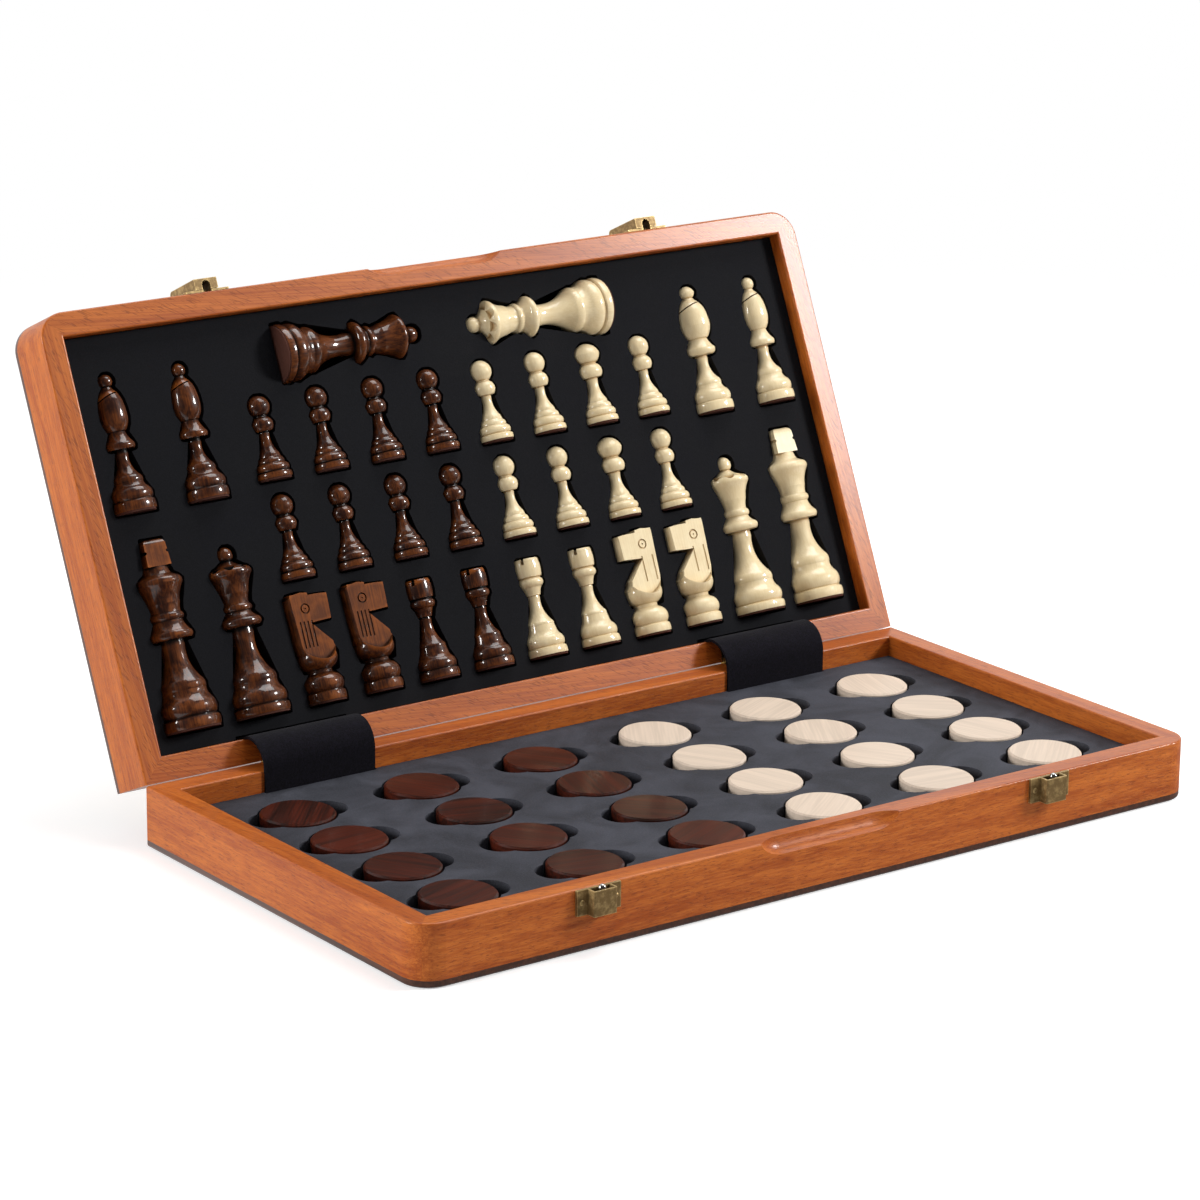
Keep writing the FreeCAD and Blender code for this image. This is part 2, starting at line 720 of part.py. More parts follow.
def scaled_rows(rows, height, radius, stout):
    """Outline in millimetres above the felt, swollen above the waist on a stout piece."""
    wooden = height - felt_thickness
    scaled = []
    for height_share, radius_share, bulge in rows:
        swell = stout if height_share > stout_from_share else fine_share
        scaled.append((felt_thickness + wooden * height_share, radius * radius_share * swell, bulge))
    return scaled


def king(rows, height, radius):
    """Turned king with the tapered square block, nicked on both sides, that stands for its cross."""
    start_share, foot_share, top_share = king_block_shares
    wooden = height - felt_thickness
    start = felt_thickness + wooden * start_share
    rings = []
    for z, half in ((start, radius * foot_share), (height, radius * top_share)):
        corners = [Vector(-half, -half, z), Vector(half, -half, z), Vector(half, half, z), Vector(-half, half, z)]
        rings.append(Part.makePolygon(corners + corners[:1]))
    finial = Part.makeLoft(rings, True, True)
    crown = [edge for edge in finial.Edges if edge.BoundBox.ZMin > (start + height) / 2]
    finial = finial.makeFillet(radius * top_share / 2, crown)
    notch_z = felt_thickness + wooden * king_notch_share
    notch_share = (king_notch_share - start_share) / (1 - start_share)
    notch_x = radius * (foot_share + (top_share - foot_share) * notch_share)
    for side in sides:
        start_point = Vector(side * notch_x, -radius, notch_z)
        finial = finial.cut(Part.makeCylinder(king_notch_radius, 2 * radius, start_point, Vector(0, 1, 0)))
    return turned(rows).fuse(finial).removeSplitter()


def queen(rows, height, radius):
    """Turned queen with scallops cut across the rim of its crown."""
    wooden = height - felt_thickness
    level_share, scallop_share = coronet_shares
    level = felt_thickness + wooden * level_share
    body = turned(rows)
    for notch in range(coronet_notches):
        angle = 360 * (notch + 0.5) / coronet_notches
        scallop = Part.makeCylinder(radius * scallop_share, 2 * radius, Vector(radius / 2, 0, level), along_x)
        body = body.cut(turned_by(scallop, Vector(0, 0, 0), up, angle))
    return body


def bishop(rows, height, radius):
    """Turned bishop with a slanting saw cut in its mitre."""
    wooden = height - felt_thickness
    z = felt_thickness + wooden * slit_height_share
    x1 = radius * slit_reach_share
    cut = block(-2 * radius, x1, -radius, radius, z - slit_width / 2, z + slit_width / 2)
    cut = turned_by(cut, Vector(0, 0, z), Vector(0, 1, 0), -slit_tilt)
    return turned(rows).cut(turned_by(cut, Vector(0, 0, z), along_x, -slit_lean))


def rook(rows, height, radius):
    """Turned rook with a cupped top and two crossed saw cuts for battlements."""
    body = turned(rows)
    cup_z = height - tower_cup_depth
    body = body.cut(Part.makeCylinder(radius * tower_cup_share, overrun, Vector(0, 0, cup_z)))
    half = tower_slot_width / 2
    z0 = height - tower_slot_depth
    slot = block(-radius, radius, -half, half, z0, height + overrun)
    for angle in (45, 135):
        body = body.cut(turned_by(slot, Vector(0, 0, 0), up, angle))
    return body


def pawn(rows, height, radius):
    return turned(rows)


def knight_points(height, radius):
    wooden = height - felt_thickness
    return [Vector(radius * x, 0, felt_thickness + wooden * z) for x, z, bulge in knight_side_shares]


def knight_milling(side, half, reach, height):
    """What a cutter with a round end takes off one side of a knight to leave a flat face."""
    near, far = sorted((side * half, side * (reach + overrun)))
    end_z = felt_thickness + (height - felt_thickness) * knight_face_end_share + knight_face_end_radius
    straight = block(-reach, reach, near, far, end_z, height + overrun)
    round_end = Part.makeCylinder(knight_face_end_radius, far - near, Vector(0, near, end_z), Vector(0, 1, 0))
    return straight.fuse(round_end)


def knight_with(grooves):
    """Maker of a knight: a sawn horse's head on a turned foot, with the given number of mane grooves."""

    def knight(rows, height, radius):
        points = knight_points(height, radius)
        bulges = [bulge for x, z, bulge in knight_side_shares[1:]] + [0]
        outline = Part.Wire(chain(points + points[:1], bulges, Vector(0, 1, 0)))
        half = knight_thickness / 2
        blank = turned(scaled_rows(knight_blank_shares, height, radius, fine_share))
        reach = blank.BoundBox.YMax
        head = moved(Part.Face(outline).extrude(Vector(0, 2 * reach, 0)), 0, -reach, 0).common(blank)
        for side in sides:
            head = head.cut(knight_milling(side, half, reach, height))
        body = turned(rows).fuse(head).removeSplitter()
        wooden = height - felt_thickness
        floor = carving_depth - half
        eye_x, eye_z = eye_place_shares
        place = Vector(radius * eye_x, floor, felt_thickness + wooden * eye_z)
        outside = Vector(0, -1, 0)
        ring = Part.makeCylinder(eye_radius, overrun, place, outside)
        ring = ring.cut(Part.makeCylinder(eye_radius - eye_groove_width, overrun, place, outside))
        pupil = Part.makeCylinder(eye_groove_width / 2, overrun, place, outside)
        body = body.cut(ring).cut(pupil)
        first_x, last_x, top_z, low_z = mane_shares
        for groove in range(grooves):
            x = radius * (first_x + (last_x - first_x) * groove / (grooves - 1))
            z0 = felt_thickness + wooden * low_z
            length = wooden * (top_z - low_z)
            cutter = Part.makeCylinder(mane_groove_radius, length, Vector(x, -half, z0), up)
            for z in (z0, z0 + length):
                cutter = cutter.fuse(Part.makeSphere(mane_groove_radius, Vector(x, -half, z)))
            body = body.cut(cutter)
        return body

    return knight


def chessman(kind, stout):
    """Upright chessman: wooden body, the magnet let into its foot and the felt under it."""
    shares, height, radius, maker = kinds[kind]
    body = maker(scaled_rows(shares, height, radius, stout), height, radius)
    magnet = Part.makeCylinder(radius * magnet_radius_share, magnet_thickness, Vector(0, 0, felt_thickness))
    felt = Part.makeCylinder(radius - felt_inset, felt_thickness)
    return [body.cut(magnet).Solids[0], magnet, felt]


def lying(shape, kind, x, v, heading):
    """Lays an upright chessman in the flat lid, its foot at x and v, its top towards the heading."""
    height, radius = kinds[kind][1:3]
    laid = turned_by(shape, Vector(0, 0, 0), along_x, -90)
    laid = turned_by(laid, Vector(0, 0, 0), up, heading)
    axis_z = half_height - lid_foam_recess - radius * sunk_share
    return moved(laid, x, hinge_y + hinge_offset + v, axis_z)


def silhouette(kind, stout):
    """Upright outline of a chessman as a flat face, widened by the clearance of its cutout."""
    shares, height, radius, maker = kinds[kind]
    rows = scaled_rows(shares, height, radius, stout)
    right = [Vector(rows[0][1], 0, 0)]
    for z, radius_here, bulge in rows:
        if radius_here == 0:
            break
        point = Vector(radius_here, 0, z)
        if bulge > 0:
            right.append(swollen_middle(right[-1], point, bulge, outline_facing))
        right.append(point)
    if kind == "king":
        start_share, foot_share, top_share = king_block_shares
        right.append(Vector(radius * foot_share, 0, right[-1].z))
        right.append(Vector(radius * top_share, 0, height))
    elif rows[-1][1] == 0:
        rim = right[-1]
        crown = Vector(0, 0, height)
        right += [dome_point(rim, crown, share) for share in dome_outline_shares]
    left = [Vector(-point.x, 0, point.z) for point in reversed(right)]
    outline = Part.Face(Part.makePolygon(right + left + right[:1]))
    if kind.endswith("knight"):
        points = knight_points(height, radius)
        outline = outline.fuse(Part.Face(Part.makePolygon(points + points[:1])))
        outline = outline.removeSplitter().Faces[0]
    return outline.makeOffset2D(cutout_clearance)


def facing(shape, kind):
    """Dark knights look to the right and light ones to the left."""
    return shape.mirror(Vector(0, 0, 0), along_x) if kind == "dark_knight" else shape


def cutout(kind, stout, body, x, v, heading):
    """Straight-walled pocket in the lid's foam, as deep as the upright body's widest part needs."""
    radius = kinds[kind][2]
    depth = radius * sunk_share + body.optimalBoundingBox(False, False).YMax + seat_clearance
    flat = lying(facing(silhouette(kind, stout), kind), kind, x, v, heading)
    top = half_height - lid_foam_recess
    flat = moved(flat, 0, 0, top - depth - flat.BoundBox.ZMin)
    return flat.extrude(Vector(0, 0, depth + overrun))


def chessmen_of(colour, side):
    """Names, kinds and places of one side's chessmen: side -1 is the left half of the lid, 1 the right."""
    knight_kind = colour + "_knight"
    rows = [
        ("king", "king", king_x, front_row_v, 0),
        ("queen", "queen", queen_x, front_row_v, 0),
        ("inner_bishop", "bishop", inner_bishop_x, bishop_row_v, 0),
        ("outer_bishop", "bishop", outer_bishop_x, bishop_row_v, 0),
        ("spare_queen", "queen", spare_queen_x, spare_queen_v, 90 * side),
    ]
    for column in range(pawn_columns):
        x = (column + 0.5) * column_pitch
        number = column + 1
        rows.append(("pawn_" + str(number), "pawn", x, middle_pawn_row_v, 0))
        rows.append(("pawn_" + str(number + pawn_columns), "pawn", x, upper_pawn_row_v, 0))
        if number <= rook_columns:
            rows.append(("rook_" + str(number), "rook", x, front_row_v, 0))
        else:
            rows.append(("knight_" + str(number - rook_columns), knight_kind, x, front_row_v, 0))
    return [(colour + "_" + name, kind, side * x, v, heading) for name, kind, x, v, heading in rows]


kinds = {
    "king": (king_shares, king_height, king_radius, king),
    "queen": (queen_shares, queen_height, queen_radius, queen),
    "bishop": (bishop_shares, bishop_height, bishop_radius, bishop),
    "rook": (rook_shares, rook_height, rook_radius, rook),
    "pawn": (pawn_shares, pawn_height, pawn_radius, pawn),
    "light_knight": (knight_foot_shares, knight_height, knight_radius, knight_with(light_mane_grooves)),
    "dark_knight": (knight_foot_shares, knight_height, knight_radius, knight_with(dark_mane_grooves)),
}
stout_pieces = ("light_pawn_3", "light_pawn_7", "light_inner_bishop")

os.makedirs("parts", exist_ok=True)

# Chessmen and the lid's foam with their cutouts
lid_foam = lid_flat(foam_block(lid_foam_recess))
cutouts = []
upright = {}
for name, kind, x, v, heading in chessmen_of("dark", -1) + chessmen_of("light", 1):
    stout = stout_share if name in stout_pieces else fine_share
    if (kind, stout) not in upright:
        upright[kind, stout] = [facing(solid, kind) for solid in chessman(kind, stout)]
    solids = [lid_swung(lying(solid, kind, x, v, heading)) for solid in upright[kind, stout]]
    export(name, solids)
    cutouts.append(cutout(kind, stout, upright[kind, stout][0], x, v, heading))
lid_foam = lid_foam.cut(Part.makeCompound(cutouts))
export("lid_foam_tray", [lid_swung(lid_foam).Solids[0]])

# Draughts and the base's foam with their seats
dark_draughts = [draught(x, y) for x, y in draught_places() if x < 0]
light_draughts = [draught(x, y) for x, y in draught_places() if x > 0]
export("dark_checkers", dark_draughts)
export("light_checkers", light_draughts)
base_foam = foam_block(base_foam_recess)
base_foam = base_foam.cut(Part.makeCompound([draught_recess(x, y) for x, y in draught_places()]))
export("base_foam_tray", [base_foam.Solids[0]])

# Hinges and their screws
screws = hinge_screws()
base_leaves = []
lid_leaves = []
for side in sides:
    base_leaves.append(hinge_leaf(side * hinge_x, 0, screws))
    start = side * hinge_x - hinge_length / 2
    base_leaves.append(barrel(start, start + hinge_length, hinge_pin_radius))
    lid_leaves.append(lid_placed(hinge_leaf(side * hinge_x, 1, screws)))
export("hinge_base_leaves", base_leaves)
export("hinge_lid_leaves", lid_leaves)

# Latches and their nails
keeper_nails = [latch_nails(side * latch_x, keeper_plate_thickness) for side in sides]
hasp_nails = [latch_nails(side * latch_x, hasp_plate_thickness) for side in sides]
keepers = [latch_keeper(side * latch_x, nails) for side, nails in zip(sides, keeper_nails)]
studs = [latch_stud(side * latch_x) for side in sides]
plates = [hasp_plate(side * latch_x, nails) for side, nails in zip(sides, hasp_nails)]
pins = [hasp_bore(side * latch_x, hasp_pin_radius) for side in sides]
export("latch_keepers", keepers)
export("latch_studs", studs)
export("latch_plates", [lid_placed(solid) for solid in plates + pins])
export("left_hasp", [lid_placed(hasp_leaf(latch_x))])
export("right_hasp", [lid_placed(hasp_leaf(-latch_x))])
base_fasteners = screws + keeper_nails[0] + keeper_nails[1]
lid_fasteners = screws + hasp_nails[0] + hasp_nails[1]
export("base_screws", base_fasteners)
export("lid_screws", [lid_placed(solid) for solid in lid_fasteners])

# Felt straps
export("hinge_straps", [strap(side * hinge_x) for side in sides])

# Rails, panels, inlaid squares and steel sheets
hinge_beds = [hinge_bed(side * hinge_x) for side in sides]
base_front, base_rear, base_ends = rails(hinge_beds + base_fasteners)
lid_front, lid_rear, lid_ends = rails(hinge_beds + lid_fasteners)
export("base_front_rail", [base_front])
export("base_rear_rail", [base_rear])
export("base_side_rails", base_ends)
export("lid_front_rail", [lid_placed(lid_front)])
export("lid_rear_rail", [lid_placed(lid_rear)])
export("lid_side_rails", [lid_placed(end) for end in lid_ends])
squares = dark_squares()
sheet = steel_sheet()
panel = board_panel(squares, sheet).Solids[0]
export("base_board_panel", [panel])
export("base_dark_squares", squares)
export("base_steel_sheet", [sheet])
export("lid_board_panel", [lid_placed(panel)])
export("lid_dark_squares", [lid_placed(square) for square in squares])
export("lid_steel_sheet", [lid_placed(sheet)])
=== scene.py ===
"""Looks of a folding magnetic chess set: case, foam trays, felt straps, chessmen, draughts and fittings."""

import json
import math

import bmesh
import bpy
from bpy.props import FloatProperty, FloatVectorProperty, PointerProperty
from mathutils import Color, Euler, Matrix, Vector


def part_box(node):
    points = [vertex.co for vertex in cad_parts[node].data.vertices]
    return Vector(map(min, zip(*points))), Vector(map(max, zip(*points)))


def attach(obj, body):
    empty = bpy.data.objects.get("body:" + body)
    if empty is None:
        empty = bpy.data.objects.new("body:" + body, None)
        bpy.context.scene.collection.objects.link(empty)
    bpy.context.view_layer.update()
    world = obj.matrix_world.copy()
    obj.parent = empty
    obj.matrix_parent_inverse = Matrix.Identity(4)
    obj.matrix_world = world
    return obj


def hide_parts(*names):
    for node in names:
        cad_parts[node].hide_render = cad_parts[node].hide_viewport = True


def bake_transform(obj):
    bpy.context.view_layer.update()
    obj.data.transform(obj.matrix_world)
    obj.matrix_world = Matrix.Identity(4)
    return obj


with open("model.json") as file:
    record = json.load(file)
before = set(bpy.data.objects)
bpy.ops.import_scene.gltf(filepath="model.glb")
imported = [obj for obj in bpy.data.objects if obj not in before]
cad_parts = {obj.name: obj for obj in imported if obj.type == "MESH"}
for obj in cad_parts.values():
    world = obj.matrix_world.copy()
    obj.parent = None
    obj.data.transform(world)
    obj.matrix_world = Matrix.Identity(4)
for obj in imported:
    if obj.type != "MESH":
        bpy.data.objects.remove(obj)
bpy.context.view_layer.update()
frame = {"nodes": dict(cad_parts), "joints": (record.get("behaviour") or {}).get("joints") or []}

bl_info = {
    "name": "Folding magnetic chess set",
    "version": (1, 0, 0),
    "blender": (4, 5, 0),
    "location": "View3D > Sidebar > Chess set",
    "description": "Finishes, foam trays, felt straps and stage of a folding magnetic chess set",
    "category": "Object",
}

NODES = frame["nodes"]
HALVES = ("base", "lid")
TONES = ("dark", "light")
X_AXIS = 0
Y_AXIS = 1
Z_AXIS = 2
UP = Vector((0.0, 0.0, 1.0))
BLACK = (0.0, 0.0, 0.0, 1.0)
WHITE = (1.0, 1.0, 1.0, 1.0)

# Places this close, in metres, count as level
LEVEL = 0.00001

# The hinge line, and how far the lid is from shut and from lying flat behind the base
LID_HINGE = next(joint for joint in frame["joints"] if joint["name"] == "lid_hinge")
HINGE = Vector(LID_HINGE["pos_m"])
LID_OPENING = math.radians(-LID_HINGE["range_deg"][0])
LID_TILT = math.radians(LID_HINGE["range_deg"][1])
LID_UP = Euler((LID_TILT, 0.0, 0.0)).to_matrix() @ UP

# Draughts stand in a grid that is centred on the case, with so many columns of each colour
DRAUGHT_COLUMNS = 3
DRAUGHT_ROWS = 4
DRAUGHTS_LOW, DRAUGHTS_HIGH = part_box("dark_checkers")
DRAUGHT_PITCH_X = -(DRAUGHTS_LOW.x + DRAUGHTS_HIGH.x) / DRAUGHT_COLUMNS
DRAUGHT_RADIUS = DRAUGHTS_HIGH.x + DRAUGHT_PITCH_X / 2
DRAUGHT_PITCH_Y = (DRAUGHTS_HIGH.y - DRAUGHTS_LOW.y - 2 * DRAUGHT_RADIUS) / (DRAUGHT_ROWS - 1)

# Lean of the grain in the long and the end rails, depth of wood that counts as a rim,
# and how much more the pores lean on a rim
LONG_RAIL_LEAN = math.radians(5)
END_RAIL_LEAN = math.radians(-4)
RIM_DEPTH = 0.0006
RIM_SLANT = 6.0

# Depth of the veneer that counts as the outer face of a board panel
FACE_DEPTH = 0.0001

# A face starts to count as square to a direction at the first cosine, and fully counts at the second
SQUARE_FACE = (0.95, 0.985)
CREVICE_SAMPLES = 8

# Foam: angle up to which faces are merged, angle of a sharp edge, arcs in a rim,
# and cosines that tell a pocket's wall from the top
FOAM_FLAT_ANGLE = math.radians(0.3)
FOAM_SHARP_ANGLE = math.radians(40)
FOAM_RIM_SEGMENTS = 3
FOAM_WALL_COSINE = 0.5
FOAM_TOP_COSINE = 0.9

# Straps: columns of faces across, and rows down in the base, round the hinge and down in the lid
STRAP_COLUMNS = 25
STRAP_BASE_ROWS = 5
STRAP_BOW_ROWS = 28
STRAP_LID_ROWS = 4
STRAP_SHARP_ANGLE = math.radians(50)

# How far the felt stands out in its middle, how far it waves, and its waves across and round the hinge
STRAP_CROWN = 0.00035
STRAP_WAVE = 0.00012
STRAP_WAVE_ACROSS = 5
STRAP_WAVE_ROUND = 3

# Floor: half its width, how far it lies below the part, and its grey near the part
FLOOR_REACH = 6.0
FLOOR_DROP = 0.0002
FLOOR_GREY = (0.82, 0.82, 0.82, 1.0)

# The point that the softboxes face
LIT_PLACE = Vector((0.0, 0.05, 0.06))

CHESSMEN = ("king", "queen", "spare_queen", "inner_bishop", "outer_bishop", "knight_", "rook_", "pawn_")

# Men of each colour: depth of worn ridges, openness where a groove is fully darkened and where it ends,
# and how far grain and ridges show. Grooves are darkened with stain and painted shade,
# ridges paled with thin stain and a painted highlight
MEN_WEAR_AND_PAINTED_LIGHT = {
    "dark": {"depth": 0.0028, "groove": (0.66, 1.0), "grain": 0.42, "ridge_wear_and_highlight": 0.85},
    "light": {"depth": 0.0012, "groove": (0.42, 0.94), "grain": 0.6, "ridge_wear_and_highlight": 0.5},
}

# How much of the stain and painted shade is kept out of the lines cut in a knight
CARVED_RELIEF = 0.4

# Draughts of each colour: shares of the main colour in the grain and in the painted highlight at the edge,
# roughness and coat
DRAUGHT_SHADES_AND_HIGHLIGHT = {
    "dark": {"deep": 0.5, "pale": 1.5, "edge": 2.1, "roughness": 0.38, "coat": 0.3},
    "light": {"deep": 0.94, "pale": 1.03, "edge": 1.08, "roughness": 0.45, "coat": 0.1},
}


def colour_property(name, description, default):
    """A colour as it looks on a screen."""
    return FloatVectorProperty(
        name=name, description=description, default=default, size=3, min=0.0, max=1.0, subtype="COLOR_GAMMA"
    )


def length_property(name, description, default):
    """A length in metres."""
    return FloatProperty(
        name=name, description=description, default=default, min=0.0, subtype="DISTANCE", unit="LENGTH"
    )


def power_property(name, description, default):
    """The power of a light in watts."""
    return FloatProperty(name=name, description=description, default=default, unit="POWER")


def place_property(name, description, default):
    """A place in metres."""
    return FloatVectorProperty(
        name=name, description=description, default=default, size=3, subtype="TRANSLATION", unit="LENGTH"
    )


class CaseLook(bpy.types.PropertyGroup):
    """Colours and sizes of the wooden case, its foam and its straps."""

    rail_dark: colour_property("Rail dark", "Late wood of the stained rails", (0.58, 0.26, 0.07))
    rail_light: colour_property("Rail light", "Early wood of the stained rails", (0.76, 0.42, 0.15))
    rail_pore: colour_property("Rail pores", "Stain caught in the pores", (0.34, 0.13, 0.04))
    panel_edge: colour_property("Panel edge", "Edge and border of the board panels", (0.33, 0.18, 0.11))
    light_square: colour_property("Light squares", "Pale veneer of the playing board", (0.86, 0.70, 0.47))
    dark_square: colour_property("Dark squares", "Dark veneer of the playing board", (0.36, 0.17, 0.09))
    # Both trays are the same black foam: the base foam is painted paler for the sheen it catches, the lid
    # foam darker for its shade
    base_foam: colour_property("Base foam", "Charcoal foam under the draughts", (0.212, 0.216, 0.240))
    lid_foam: colour_property("Lid foam", "Black foam round the chessmen", (0.066, 0.068, 0.084))
    foam_rim: length_property("Foam rim", "Rounding of the foam where a pocket starts", 0.0006)
    foam_weld: length_property("Foam weld", "Shortest edge along a pocket", 0.0003)
    felt: colour_property("Felt", "Felt of the hinge straps", (0.052, 0.046, 0.070))
    strap_thickness: length_property("Strap thickness", "Thickness of the felt straps", 0.0012)
    strap_radius: length_property("Strap bow", "Inner radius of the straps about the hinge line", 0.0105)
    strap_tuck: length_property("Strap tuck", "How far the straps go down behind the foam", 0.005)


class MenLook(bpy.types.PropertyGroup):
    """Colours of the chessmen and the draughts."""

    # Crevice colour: stain in the grooves, together with painted shade
    dark_crevice_stain_and_shade: colour_property("Dark crevices", "Stain in grooves of the dark men", (0.024, 0.011, 0.008))
    dark_body: colour_property("Dark men", "Main colour of the dark men", (0.175, 0.066, 0.024))
    # Ridge colour: thin stain, also used for a painted highlight on edges
    dark_raised: colour_property("Dark ridges", "Thin stain on ridges of the dark men", (0.60, 0.32, 0.10))
    # Crevice colour: wax in the grooves, together with painted shade
    light_crevice_stain_and_shade: colour_property("Light crevices", "Wax in grooves of the light men", (0.72, 0.58, 0.38))
    light_body: colour_property("Light men", "Main colour of the light men", (0.885, 0.80, 0.63))
    # Ridge colour: polish, also used for a painted highlight on edges
    light_raised: colour_property("Light ridges", "Polished ridges of the light men", (0.935, 0.87, 0.725))
    sole: colour_property("Sole felt", "Felt under the men", (0.30, 0.18, 0.145))
    sole_thickness: length_property("Sole thickness", "Thickness of the felt under the men", 0.0008)
    dark_draught: colour_property("Dark draughts", "Stained draughts", (0.20, 0.07, 0.03))
    light_draught: colour_property("Light draughts", "Bare wood draughts", (0.82, 0.75, 0.68))


class FittingsLook(bpy.types.PropertyGroup):
    """Colours of the metal parts."""

    brass_dark: colour_property("Aged brass", "Darkened brass in hollows", (0.50, 0.40, 0.245))
    brass_worn: colour_property("Worn brass", "Bare brass on worn edges", (0.86, 0.74, 0.50))
    brass_plain: colour_property("Plain brass", "Brass of hinges and their screws", (0.80, 0.66, 0.36))
    nickel: colour_property("Nickel", "Plating of the latch studs", (0.80, 0.79, 0.77))
    steel: colour_property("Steel", "Sheets under the boards", (0.55, 0.56, 0.58))


class StageLook(bpy.types.PropertyGroup):
    """Camera, floor and lights."""

    camera_place: place_property("Camera", "Where the camera stands", (-1.01099, -1.30904, 0.58092))
    camera_aim: place_property("Aim", "Point in the middle of the picture", (-0.01842, 0.03, 0.08815))
    camera_roll: FloatProperty(
        name="Roll", description="Lean of the camera", default=math.radians(0.5665),
        subtype="ANGLE", unit="ROTATION"
    )
    camera_lens: FloatProperty(name="Lens", description="Focal length", default=131.16, unit="CAMERA")
    left_power: power_property("Left box", "Power of the left softbox", 21.0)
    right_power: power_property("Right box", "Power of the right softbox", 28.0)
    top_power: power_property("Top box", "Power of the softbox overhead", 15.0)
    room: FloatProperty(name="Room", description="Strength of the light from all round", default=0.32)


class ChessSetLook(bpy.types.PropertyGroup):
    """All settings of the chess set."""

    case: PointerProperty(type=CaseLook)
    men: PointerProperty(type=MenLook)
    fittings: PointerProperty(type=FittingsLook)
    stage: PointerProperty(type=StageLook)


def paint(colour):
    """A screen colour as the four linear numbers that a shader takes."""
    return (*Color(colour).from_srgb_to_scene_linear(), 1.0)


def shade(colour, share):
    """A darker or paler shade of a screen colour, painted."""
    return paint([min(part * share, 1.0) for part in colour])


class Value:
    """One output of a shader node. Arithmetic on it adds Math nodes."""

    def __init__(self, nodes, socket):
        self.nodes = nodes
        self.socket = socket

    def math(self, operation, first, second=0.0):
        return self.nodes.add("ShaderNodeMath", {"operation": operation}, {0: first, 1: second})

    def __add__(self, other):
        return self.math("ADD", self, other)

    def __radd__(self, other):
        return self.math("ADD", other, self)

    def __sub__(self, other):
        return self.math("SUBTRACT", self, other)

    def __rsub__(self, other):
        return self.math("SUBTRACT", other, self)

    def __mul__(self, other):
        return self.math("MULTIPLY", self, other)

    def __abs__(self):
        return self.math("ABSOLUTE", self)

    def __lt__(self, other):
        return self.math("LESS_THAN", self, other)

    def __gt__(self, other):
        return self.math("GREATER_THAN", self, other)

    def ease(self, start, end):
        """Rises smoothly from 0 at start to 1 at end."""
        settings = {"interpolation_type": "SMOOTHSTEP"}
        inputs = {"Value": self, "From Min": start, "From Max": end}
        return self.nodes.add("ShaderNodeMapRange", settings, inputs)


class Nodes:
    """A shader tree that is written as expressions."""

    def __init__(self, tree):
        self.tree = tree
        self.tree.nodes.clear()

    def add(self, kind, settings=None, inputs=None, output=0):
        """Adds a node with its settings and then its sockets, and gives one of its outputs."""
        node = self.tree.nodes.new(kind)
        for key, setting in (settings or {}).items():
            setattr(node, key, setting)
        for key, entry in (inputs or {}).items():
            if isinstance(entry, Value):
                self.tree.links.new(entry.socket, node.inputs[key])
            else:
                node.inputs[key].default_value = entry
        return Value(self, node.outputs[output])

    def end(self, kind, shader):
        """Links a shader to an output of the tree."""
        output = self.tree.nodes.new(kind)
        self.tree.links.new(shader.socket, output.inputs["Surface"])

    def mix(self, share, first, second):
        """Goes from the first colour to the second as share goes from 0 to 1."""
        return self.add("ShaderNodeMix", {"data_type": "RGBA"}, {0: share, 6: first, 7: second}, output=2)

    def vector(self, operation, first, second=(0.0, 0.0, 0.0), output=0):
        settings = {"operation": operation}
        return self.add("ShaderNodeVectorMath", settings, {0: first, 1: second}, output)

    def part(self, vector, axis):
        return self.add("ShaderNodeSeparateXYZ", None, {0: vector}, output=axis)

    def noise(self, vector, detail=2.0, roughness=0.5, distortion=0.0):
        inputs = {"Vector": vector, "Scale": 1.0, "Detail": detail}
        inputs.update({"Roughness": roughness, "Distortion": distortion})
        return self.add("ShaderNodeTexNoise", None, inputs)

    def grains(self, place, size, **settings):
        """Noise with grains of one size in every direction."""
        return self.noise(self.vector("MULTIPLY", place, (1 / size,) * 3), **settings)

    def streaks(self, place, axis, long, across, **settings):
        """Noise drawn out along one axis."""
        stretch = [1 / across] * 3
        stretch[axis] = 1 / long
        return self.noise(self.vector("MULTIPLY", place, stretch), **settings)

    def seen_rays(self):
        """1 for what is seen, also in a reflection or through glass, and 0 for light that falls on things."""
        camera = self.add("ShaderNodeLightPath", output="Is Camera Ray")
        glossy = self.add("ShaderNodeLightPath", output="Is Glossy Ray")
        through = self.add("ShaderNodeLightPath", output="Is Transmission Ray")
        settings = {"operation": "ADD", "use_clamp": True}
        return self.add("ShaderNodeMath", settings, {0: camera + glossy, 1: through})


